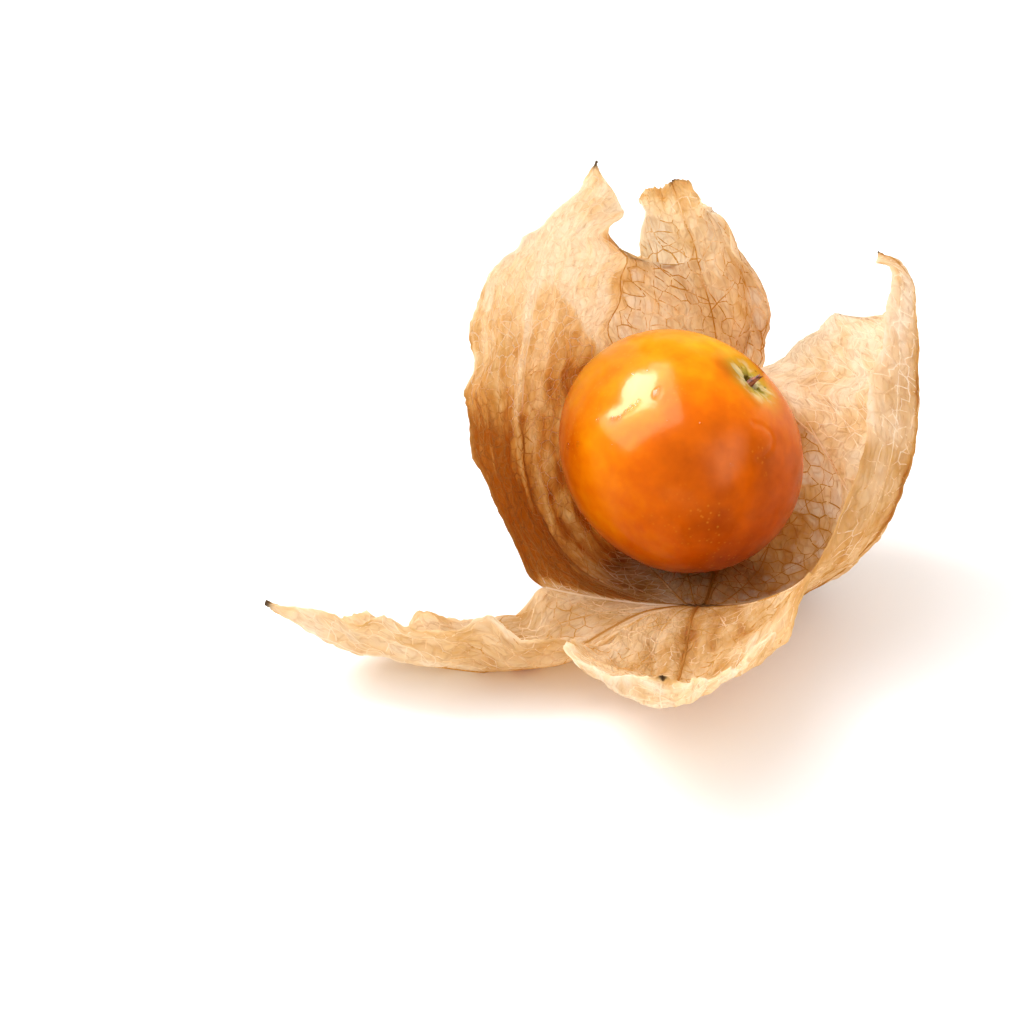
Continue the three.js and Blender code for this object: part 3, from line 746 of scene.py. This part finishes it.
def vein_fibre():
    """Dried vein fibre: woody strands in the paper, a little waxy. It is pale straw where the paper is
    pale, and brown where the paper is brown, including where that brown is painted shade."""
    m = new_material("dried vein fibre")
    place = add_node(m, "TexCoord").outputs["Object"]
    _, dark, brown = stored(m, "husk_zone")
    patch_mm, grain_mm = 3.5, 0.25
    patch = add_node(m, "TexNoise", Vector=place, Scale=1000 / patch_mm, Detail=2.0)
    grain = add_node(m, "TexNoise", Vector=place, Scale=1000 / grain_mm, Detail=2.0)
    browned = sums(m, (patch.outputs["Fac"], 0.9), (grain.outputs["Fac"], 0.3), (brown, 1.1), -0.72)
    colour = colour_steps(m, browned, [(0.1, "#fdf0da"), (0.25, "#fae2ba"), (0.4, "#d6a65c"),
                                       (0.8, "#b57c32")])
    colour = blended(m, dark, colour, "#5b4630")
    skin = add_node(m, "BsdfPrincipled", Base_Color=colour, Roughness=0.5, IOR=1.4,
                    Specular_IOR_Level=0.2)
    glow = add_node(m, "BsdfTranslucent", Color=colour)
    return finish_material(m, skin, glow)


dried_vein_fibre = vein_fibre()
for k, lobe in enumerate(LOBES):
    veins = Veins(k)
    add_ribs(veins)
    add_net(veins)
    vein_points = np.clip(np.concatenate(veins.points), lowest, highest)
    vein_mesh = smooth_mesh("husk_veins_" + lobe["name"], vein_points, veins.faces)
    store_values(vein_mesh, "husk_zone", np.concatenate(veins.zones), "POINT")
    vein_mesh.materials.append(dried_vein_fibre)
    vein_piece = add_piece("husk_veins_" + lobe["name"], vein_mesh, "husk_paper")
    # veins this thin dim the light behind them no more than the paper that they grow in
    vein_piece.visible_shadow = False
    vein_piece.visible_diffuse = False
    vein_piece.visible_transmission = False

# ---- berry ----
# The ripe fruit: a round, slightly flattened berry with a waxy skin, full of juice. It is smooth
# but for a shallow puckered dimple with a small pit, where its stalk broke off.
DIMPLE_DEPTH = 0.8
DIMPLE_RADIUS = 2.7
PIT_RADIUS = 0.75
PIT_DEPTH = 0.7
BERRY_SECTORS = 320
SKIN_RINGS, DIMPLE_RINGS, PIT_RINGS = 200, 44, 12  # from the blossom end to the pit's floor
PUCKER = 0.055  # height of the small folds round the scar
DENT_DEPTH = 0.045  # of the skin's broad, faint dents
CREASE_DEPTH, CREASE_HALF = 0.09, 0.28  # of the one crease in the skin, and its half width
SKIN_MM = 10.0  # along the skin, for one radian at the berry's middle
# the crease's course, as directions from the berry's middle
SKIN_CREASE = [(0.54, -0.63, 0.56), (0.625, -0.587, 0.515), (0.69, -0.565, 0.45), (0.713, -0.586, 0.385),
               (0.68, -0.653, 0.334), (0.62, -0.718, 0.311), (0.55, -0.77, 0.31)]
# soft patches of riper or paler skin, partly painted light and shade: direction from the middle, reach in
# degrees, riper by
# painted light and shade: paler patches on the lit top and upper left and on the dimple's far wall, riper,
# darker ones on the shaded lower side and on the dimple's near wall; the rest is uneven real ripening
PATCHES = [
    ((-0.15, 0.13, 0.98), 17, -0.06), ((0.18, 0.1, 0.98), 20, -0.21), ((-0.66, -0.44, 0.6), 24, -0.15),
    ((0.6, 0.06, 0.8), 14, -0.35), ((0.36, -0.2, 0.91), 8, 0.25), ((0.84, -0.53, 0.09), 34, 0.15),
    ((-0.35, -0.88, 0.3), 22, 0.15), ((0.44, -0.9, 0.0), 34, 0.2), ((-0.1, -0.8, 0.55), 24, 0.15),
    ((0.15, -0.82, 0.5), 20, 0.15), ((-0.95, -0.25, 0.1), 26, 0.15), ((-0.5, 0.4, 0.75), 24, -0.125),
    ((0, 0.9, 0.4), 40, -0.05),
]
DIMPLE_SHADE_PATCH = ((0.37, -0.2, 0.9), 9)  # painted shade of the dimple beside the scar: direction, reach in degrees
SPECKS = [(-0.8, 2.0), (0.8, 1.2), (1.2, 0.85), (-1.5, 0.4)]  # dark dots: across and behind the scar
SPECK_RADIUS = 0.1
turn_to_scar = np.array(Vector((0, 0, 1)).rotation_difference(Vector(SCAR_AXIS)).to_matrix())


def skin_height(radius):
    """Height of the skin over the berry's middle plane, at a radius from its axis by the scar."""
    rounded = np.sqrt(np.maximum(1 - (2 * radius / BERRY_WIDTH) ** 2, 0)) * BERRY_HEIGHT / 2
    return rounded - DIMPLE_DEPTH * np.exp(-((radius / DIMPLE_RADIUS) ** 2))


def berry_profile():
    """(radius, height) from the blossom end to the middle of the pit's floor."""
    latitude = np.linspace(-90, 66, SKIN_RINGS) * RAD
    radius = np.cos(latitude) * BERRY_WIDTH / 2
    height = np.where(latitude > 0, skin_height(radius), np.sin(latitude) * BERRY_HEIGHT / 2)
    near = np.linspace(radius[-1], PIT_RADIUS, DIMPLE_RINGS + 1)[1:]
    radius, height = np.concatenate([radius, near]), np.concatenate([height, skin_height(near)])
    floor = skin_height(0.0) - PIT_DEPTH
    steps = np.linspace(0, 1, PIT_RINGS + 1)[1:]
    pit_height = height[-1] + (floor - height[-1]) * smooth(0, 0.6, steps)
    return np.concatenate([radius, PIT_RADIUS * (1 - steps ** 2)]), np.concatenate([height, pit_height])


profile_radius, profile_height = berry_profile()
sector_angles = np.arange(BERRY_SECTORS) * 2 * math.pi / BERRY_SECTORS
ring_radius, ring_angle = np.meshgrid(profile_radius[1:-1], sector_angles, indexing="ij")
ring_height = np.repeat(profile_height[1:-1, None], BERRY_SECTORS, axis=1)
swell = 1 + 0.004 * np.sin(3 * ring_angle + 0.4) + 0.0025 * np.sin(5 * ring_angle + 2)
folds = (0.5 * np.sin(5 * ring_angle + 0.6 + 0.3 * ring_radius) + 0.3 * np.sin(9 * ring_angle + 2)
         + 0.2 * np.sin(16 * ring_angle + 1))
by_scar = np.exp(-(((ring_radius - 1.35) / 0.75) ** 2)) * (ring_height > 0)
ring_height = ring_height + PUCKER * folds * by_scar
rings = np.stack([ring_radius * np.cos(ring_angle) * swell, ring_radius * np.sin(ring_angle) * swell,
                  ring_height], axis=-1)
upright = np.vstack([[0, 0, profile_height[0]], rings.reshape(-1, 3), [0, 0, profile_height[-1]]])
out_of_berry = upright @ turn_to_scar.T
directions = out_of_berry / np.linalg.norm(out_of_berry, axis=1)[:, None]
dents = np.array([noise.noise(Vector(direction * 2.2)) for direction in directions])
from_crease = np.full(len(upright), 9.0)
for start, end in zip(SKIN_CREASE[:-1], SKIN_CREASE[1:]):
    start, run = np.array(start), np.array(end) - np.array(start)
    t = np.clip((directions - start) @ run / (run @ run), 0, 1)
    apart = np.linalg.norm(directions - start - each(t) * run, axis=1) * SKIN_MM
    from_crease = np.minimum(from_crease, apart)
sunk = CREASE_DEPTH * np.exp(-((from_crease / CREASE_HALF) ** 2)) + DENT_DEPTH * (0.5 - dents)
from_scar = np.hypot(upright[:, 0], upright[:, 1])
from_scar[upright[:, 2] < 0] = BERRY_WIDTH / 2
sunk *= smooth(1.5, 3.5, from_scar)
turned = BERRY_CENTRE + out_of_berry - directions * each(sunk)


def ring_faces(first, rings, sides):
    """Faces of a closed skin whose points are one at its foot, rings of them, and one at its top."""
    top = first + 1 + rings * sides
    faces = []
    for side in range(sides):
        after = (side + 1) % sides
        faces.append((first, first + 1 + after, first + 1 + side))
        for low in range(first + 1, top - sides, sides):
            faces.append((low + side, low + after, low + sides + after, low + sides + side))
        faces.append((top - sides + side, top - sides + after, top))
    return faces


berry_mesh = smooth_mesh("berry_skin", turned, ring_faces(0, len(rings), BERRY_SECTORS))


def patch_share(direction, reach):
    """How much of a soft round patch lies at each point: 1 in its middle, and 0 well outside."""
    middle = np.array(direction) / np.linalg.norm(direction)
    apart = np.arccos(np.clip(directions @ middle, -1, 1)) / RAD
    return np.exp(-((apart / reach) ** 2))


# painted light and shade: the skin is made paler towards the lit top and upper left, and riper, so darker,
# towards the lower right and front
ripeness_and_shade = 0.5 + 0.16 * (directions @ np.array([0.45, -0.55, -0.7]))
for patch_direction, reach, added in PATCHES:
    ripeness_and_shade += added * patch_share(patch_direction, reach)
# painted shade: the skin is darkened in the pit by its depth, and in the dimple beside the scar; the dark
# specks round the scar are the skin's own
below_skin = skin_height(from_scar) - upright[:, 2] - 0.05
painted_shade_and_specks = np.clip(below_skin / PIT_DEPTH, 0, 1) * (from_scar < PIT_RADIUS)
painted_shade_and_specks = np.maximum(painted_shade_and_specks, 0.22 * patch_share(*DIMPLE_SHADE_PATCH))
spread = np.cross(SCAR_AXIS, (0, 1, 0.3))
spread /= np.linalg.norm(spread)
for aside_mm, behind_mm in SPECKS:
    away_mm = out_of_berry - spread * aside_mm - np.cross(spread, SCAR_AXIS) * behind_mm
    away_mm -= each(away_mm @ SCAR_AXIS) * SCAR_AXIS
    apart = np.linalg.norm(away_mm, axis=1)
    painted_shade_and_specks = np.maximum(painted_shade_and_specks, 0.8 * np.exp(-((apart / SPECK_RADIUS) ** 2)) * (upright[:, 2] > 0))
store_values(berry_mesh, "berry_zone", np.stack([from_scar, painted_shade_and_specks, ripeness_and_shade], axis=-1), "POINT")
spoke = upright[:, :2] / np.maximum(from_scar, 0.05)[:, None]
store_values(berry_mesh, "berry_spoke", np.column_stack([spoke * 2.6, from_scar * 0.35]), "POINT")
berry_skin = add_piece("berry_skin", berry_mesh, "berry_skin", "berry")


def ripe_berry_skin():
    """Ripe berry skin: a thin waxy cuticle over juicy flesh. It is glossy, light goes a little way in, and
    it runs from amber to deep orange, with a pale green ring and streaks at the scar. Its colour also holds
    painted light and shade: paler on the lit upper left, darker on the lower right, and darker in the
    dimple and pit by the scar."""
    m = new_material("ripe berry skin")
    place = add_node(m, "TexCoord").outputs["Object"]
    from_scar, painted_shade_and_specks, ripeness_and_shade = stored(m, "berry_zone")
    patch_mm, streak_mm, pore_mm = 6.0, 1.3, 0.45
    patch = add_node(m, "TexNoise", Vector=place, Scale=1000 / patch_mm, Detail=4.0).outputs["Fac"]
    streak = add_node(m, "TexNoise", Vector=place, Scale=1000 / streak_mm, Detail=2.0).outputs["Fac"]
    # the skin's tone: real ripeness together with painted light and shade, paler on the lit upper left and
    # darker on the lower right
    ripe_and_shaded = sums(m, (patch, 0.85), (streak, 0.25), (ripeness_and_shade, 1.0), -0.55)
    colour = colour_steps(m, ripe_and_shaded, [(0.05, "#fbbc1a"), (0.3, "#f59c08"), (0.5, "#ea7c00"),
                                    (0.7, "#d66200"), (1.0, "#a84400")])
    pore = add_node(m, "TexVoronoi", Vector=place, Scale=1000 / pore_mm).outputs["Distance"]
    where = add_node(m, "MapRange", Value=patch, From_Min=0.5, From_Max=0.65, To_Max=0.25)
    pore_dot = add_node(m, "MapRange", Value=pore, From_Min=0.1, From_Max=0.3,
                        To_Min=where.outputs["Result"], To_Max=0.0)
    colour = blended(m, pore_dot.outputs["Result"], colour, "#f7b440")
    spokes = add_node(m, "Attribute", {"attribute_name": "berry_spoke"}).outputs["Vector"]
    spokes = add_node(m, "TexNoise", Vector=spokes, Scale=1.0, Detail=4.0).outputs["Fac"]
    ring = sums(m, (spokes, -1.5), (from_scar, 1.0), 0.75)
    # near the scar the skin turns olive and amber: partly the scar's own colour, partly painted shade of
    # the dimple round it
    near_scar = add_node(m, "MapRange", {"interpolation_type": "SMOOTHSTEP"},
                         Value=ring, From_Min=1.3, From_Max=4.2, To_Min=1.0, To_Max=0.0).outputs["Result"]
    ring_share = add_node(m, "MapRange", Value=ring, From_Min=0.0, From_Max=4.0)
    ring_colour = colour_steps(m, ring_share.outputs["Result"],
                               [(0.12, "#6a5a12"), (0.22, "#9a8a2c"), (0.36, "#c9a83c"),
                                (0.5, "#d3a02c"), (0.7, "#d8940c"), (1.0, "#e08c04")])
    colour = blended(m, near_scar, colour, ring_colour)
    by_ring = add_node(m, "MapRange", Value=ring, From_Min=1.6, From_Max=2.6, To_Min=0.7, To_Max=0.0)
    cream = add_node(m, "MapRange", Value=streak, From_Min=0.5, From_Max=0.6,
                     To_Max=by_ring.outputs["Result"])
    colour = blended(m, cream.outputs["Result"], colour, "#efdca6")
    # painted shade in the pit and the dimple, together with the skin's own dark specks
    colour = blended(m, painted_shade_and_specks, colour, "#2e220a")
    bump = add_node(m, "Bump", Strength=0.06, Distance=0.0001, Height=pore)
    skin = add_node(m, "BsdfPrincipled", Base_Color=colour, Roughness=0.17, IOR=1.5,
                    Specular_Tint=(1.0, 0.77, 0.46, 1.0), Subsurface_Weight=0.2, Subsurface_Scale=0.001,
                    Subsurface_Radius=(1.0, 0.3, 0.05), Normal=bump.outputs["Normal"])
    return finish_material(m, skin)


berry_skin.data.materials.append(ripe_berry_skin())

# ---- water drops ----
# Water left on the skin by rinsing: one round drop, a crooked trail of run-together droplets and
# some specks. They cling to the skin, and carry no weight.
DROP_SIDES = 28
DROP_RINGS = 8
DROP_TALL, DROP_DEEP = 0.5, 0.15  # how far a drop stands out and goes in, in its radii
DROP_SET = 0.04  # how far its rim is set into the skin
# direction from the berry's middle, radius in millimetres
DROPS = [
    ((-0.242, -0.584, 0.775), 0.55), ((-0.571, -0.605, 0.554), 0.26), ((-0.54, -0.62, 0.566), 0.22),
    ((-0.515, -0.634, 0.577), 0.27), ((-0.472, -0.628, 0.619), 0.3), ((-0.45, -0.629, 0.634), 0.22),
    ((-0.429, -0.63, 0.647), 0.28), ((-0.4, -0.618, 0.677), 0.26), ((-0.378, -0.6, 0.705), 0.24),
    ((-0.676, -0.527, 0.515), 0.17), ((-0.436, -0.609, 0.663), 0.22), ((0.326, -0.891, 0.315), 0.2),
    ((-0.906, -0.362, 0.219), 0.24), ((-0.824, -0.485, 0.294), 0.2), ((-0.576, -0.719, 0.389), 0.22),
    ((-0.311, -0.369, 0.876), 0.12), ((-0.416, -0.358, 0.836), 0.1), ((-0.287, -0.181, 0.941), 0.11),
    ((0.086, -0.786, 0.612), 0.14), ((-0.107, -0.811, 0.575), 0.11), ((-0.168, -0.765, 0.622), 0.12),
]
drop_points, drop_faces = [], []
for direction, radius in DROPS:
    direction = np.array(direction) / np.linalg.norm(direction)
    along = direction @ SCAR_AXIS
    reach = 1 / math.hypot(along * 2 / BERRY_HEIGHT, math.sqrt(1 - along ** 2) * 2 / BERRY_WIDTH)
    outward = direction / (BERRY_WIDTH / 2) ** 2
    outward += SCAR_AXIS * along * (4 / BERRY_HEIGHT ** 2 - 4 / BERRY_WIDTH ** 2)
    outward /= np.linalg.norm(outward)
    beside = np.cross(outward, (0.3, 0.2, 0.93))
    beside /= np.linalg.norm(beside)
    upward = np.cross(outward, beside)
    first = len(drop_points)
    middle = BERRY_CENTRE + direction * (reach - DROP_SET)
    stretched, squeezed = random.uniform(0.95, 1.2), random.uniform(0.85, 1.05)
    drop_points.append(middle - outward * radius * DROP_DEEP)
    for ring in range(DROP_RINGS, 0, -1):
        angle = ring / (DROP_RINGS + 1) * math.pi
        level = math.cos(angle) * (DROP_TALL if angle < math.pi / 2 else DROP_DEEP)
        for side in range(DROP_SIDES):
            turn = side * 2 * math.pi / DROP_SIDES
            out = math.sin(angle) ** 0.8 * (1 + 0.05 * math.sin(3 * turn + first))
            aside = beside * math.cos(turn) * squeezed + upward * math.sin(turn) * stretched
            drop_points.append(middle + radius * (outward * level + aside * out))
    drop_points.append(middle + outward * radius * DROP_TALL)
    drop_faces += ring_faces(first, DROP_RINGS, DROP_SIDES)
water_drops = add_piece("water_drops", smooth_mesh("water_drops", drop_points, drop_faces), "berry_skin")
water_drops.visible_shadow = False


def clear_water():
    """Clear water: smooth and colourless, it bends the view of the skin under it."""
    m = new_material("clear water")
    water = add_node(m, "BsdfPrincipled", Base_Color=hex_colour("#ffffff"), Roughness=0.02,
                     IOR=1.33, Transmission_Weight=1.0, Alpha=0.75)
    return finish_material(m, water)


water_drops.data.materials.append(clear_water())

# ---- stalk stub ----
# The last of the fruit's stalk, broken off in the pit: a short, tapering splinter of dry wood
# with a ragged end, a little bent.
STUB_RADIUS = 0.36
STUB_LENGTH = 1.6
STUB_SLIM = 0.82  # of the solid's radius, so that its flutes stay inside
STUB_BEND = 0.2  # how far its top leans over
STUB_SHORT = 0.35  # how much its ragged end falls short of the solid's
STUB_SIDES = 24
STUB_RINGS = 21
stub_foot = skin_height(0.0) - PIT_DEPTH + GAP
stub_points = [(0, 0, stub_foot)]
for t in np.linspace(0, 1, STUB_RINGS):
    for side in range(STUB_SIDES):
        angle = side * 2 * math.pi / STUB_SIDES
        flute = 1 + 0.16 * math.sin(5 * angle + 1) + 0.08 * math.sin(9 * angle + 6 * t)
        radius = STUB_RADIUS * STUB_SLIM * flute * (1 - 0.5 * t ** 1.2)
        ragged = (0.2 * math.sin(2 * angle + 1) + 0.08 * math.sin(7 * angle)) * t ** 5
        stub_points.append((radius * math.cos(angle) + STUB_BEND * t * t, radius * math.sin(angle),
                            stub_foot + (STUB_LENGTH - STUB_SHORT) * t + ragged))
stub_points.append((STUB_BEND, 0, stub_foot + STUB_LENGTH - STUB_SHORT - 0.1))
stub_points = np.array(stub_points) @ turn_to_scar.T + BERRY_CENTRE
stub_mesh = smooth_mesh("stalk_stub", stub_points, ring_faces(0, STUB_RINGS, STUB_SIDES))
stalk_stub = add_piece("stalk_stub", stub_mesh, "dry_stalk", "berry_stub")


def dry_stalk_wood():
    """Dry stalk wood: red-brown bark fibres, darker in the grooves, quite matt."""
    m = new_material("dry stalk wood")
    place = add_node(m, "TexCoord").outputs["Object"]
    fibre_mm = 0.25
    fibre = add_node(m, "TexNoise", Vector=place, Scale=1000 / fibre_mm, Detail=3.0)
    colour = colour_steps(m, fibre.outputs["Fac"], [(0.3, "#4a1f0b"), (0.5, "#8f4517"), (0.75, "#bf6f2c")])
    bump = add_node(m, "Bump", Strength=0.5, Distance=0.0001, Height=fibre.outputs["Fac"])
    wood = add_node(m, "BsdfPrincipled", Base_Color=colour, Roughness=0.65, IOR=1.5,
                    Normal=bump.outputs["Normal"])
    return finish_material(m, wood)


stalk_stub.data.materials.append(dry_stalk_wood())

# ---- floor, light and camera ----
# A white studio sweep under the fruit, in an evenly white room, with a soft window at the upper
# left and a pale card at the lower right. Window and card are lamps of two kinds: those that only
# light things, and those that only show as reflections, so that each can be as bright as it looks.
FLOOR_HALF = 3000
floor_corners = [(x * FLOOR_HALF, y * FLOOR_HALF, 0) for x, y in ((-1, -1), (1, -1), (1, 1), (-1, 1))]
floor_mesh = smooth_mesh("studio_floor", floor_corners, [(0, 1, 2, 3)])
studio_floor = bpy.data.objects.new("studio_floor", floor_mesh)
bpy.context.scene.collection.objects.link(studio_floor)
studio_floor.visible_glossy = False  # so the fruit's lower half mirrors only its husk


def white_sweep():
    """White painted board: matt, a touch warm."""
    m = new_material("white painted board")
    board = add_node(m, "BsdfPrincipled", Base_Color=hex_colour("#f5f3f2"), Roughness=0.9)
    return finish_material(m, board)


floor_mesh.materials.append(white_sweep())

berry_place = Vector(BERRY_CENTRE * MM)
# in metres and watts, from here on
LAMP_DISTANCE = 0.6


def soft_lamp(name, direction, size, power, mirrored, colour="#ffffff"):
    """A rectangular soft lamp that faces the berry. It is only mirrored, or only lights things."""
    light = bpy.data.lights.new(name, "AREA")
    light.shape = "RECTANGLE"
    light.size, light.size_y = size
    light.energy = power
    light.color = hex_colour(colour)[:3]
    lamp = bpy.data.objects.new(name, light)
    lamp.location = berry_place + Vector(direction).normalized() * LAMP_DISTANCE
    lamp.rotation_euler = (-Vector(direction)).to_track_quat("-Z", "Y").to_euler()
    lamp.visible_glossy = mirrored
    lamp.visible_diffuse = not mirrored
    lamp.visible_transmission = not mirrored
    bpy.context.scene.collection.objects.link(lamp)


soft_lamp("window_light", (-0.6, 0.24, 0.76), (0.24, 0.3), 2.0, mirrored=False)
soft_lamp("window_glare", (-0.57, 0.12, 0.81), (0.4, 0.5), 12.0, mirrored=True, colour="#d4eaff")
soft_lamp("window_surround", (-0.52, 0.05, 0.85), (0.6, 0.66), 1.9, mirrored=False)
soft_lamp("window_sheen", (-0.52, -0.05, 0.83), (0.86, 0.9), 11.5, mirrored=True)
soft_lamp("side_card", (0.79, -0.54, 0.3), (0.66, 0.5), 1.2, mirrored=False)
soft_lamp("side_sheen", (0.79, -0.54, 0.3), (0.5, 0.4), 3.2, mirrored=True)


def white_room():
    """The white room that lights the sweep evenly. Shiny skin mirrors it dimly, as if far off."""
    room = bpy.data.worlds.new("white_room")
    room.use_nodes = True
    mirrored = add_node(room, "LightPath").outputs["Is Glossy Ray"]
    strength = add_node(room, "MapRange", Value=mirrored, To_Min=1.0, To_Max=0.06).outputs["Result"]
    background = room.node_tree.nodes["Background"]
    background.inputs["Color"].default_value = hex_colour("#ffffff")
    room.node_tree.links.new(strength, background.inputs["Strength"])
    return room


bpy.context.scene.world = white_room()
bpy.context.scene.view_settings.view_transform = "Standard"

LENS_MM = 85
SENSOR_MM = 36
IMAGE_PIXELS = 1024
CAMERA_HEIGHT_DEG = 27
BERRY_PIXEL = (680.8, 451.4)  # where the berry's middle lies in the image
CAMERA_DISTANCE = 0.1921  # from the lens to the berry, along the view
pixels_per_slope = LENS_MM / SENSOR_MM * IMAGE_PIXELS
look = Vector((0, math.cos(CAMERA_HEIGHT_DEG * RAD), -math.sin(CAMERA_HEIGHT_DEG * RAD)))
rise = Vector((0, math.sin(CAMERA_HEIGHT_DEG * RAD), math.cos(CAMERA_HEIGHT_DEG * RAD)))
aside = (BERRY_PIXEL[0] - IMAGE_PIXELS / 2) / pixels_per_slope * CAMERA_DISTANCE
above = (IMAGE_PIXELS / 2 - BERRY_PIXEL[1]) / pixels_per_slope * CAMERA_DISTANCE
lens = bpy.data.cameras.new("camera")
lens.lens = LENS_MM
lens.sensor_width = SENSOR_MM
lens.clip_start = 0.01
camera = bpy.data.objects.new("camera", lens)
camera.location = berry_place - look * CAMERA_DISTANCE - Vector((aside, 0, 0)) - rise * above
camera.rotation_euler = (math.pi / 2 - CAMERA_HEIGHT_DEG * RAD, 0, 0)
bpy.context.scene.collection.objects.link(camera)
bpy.context.scene.camera = camera
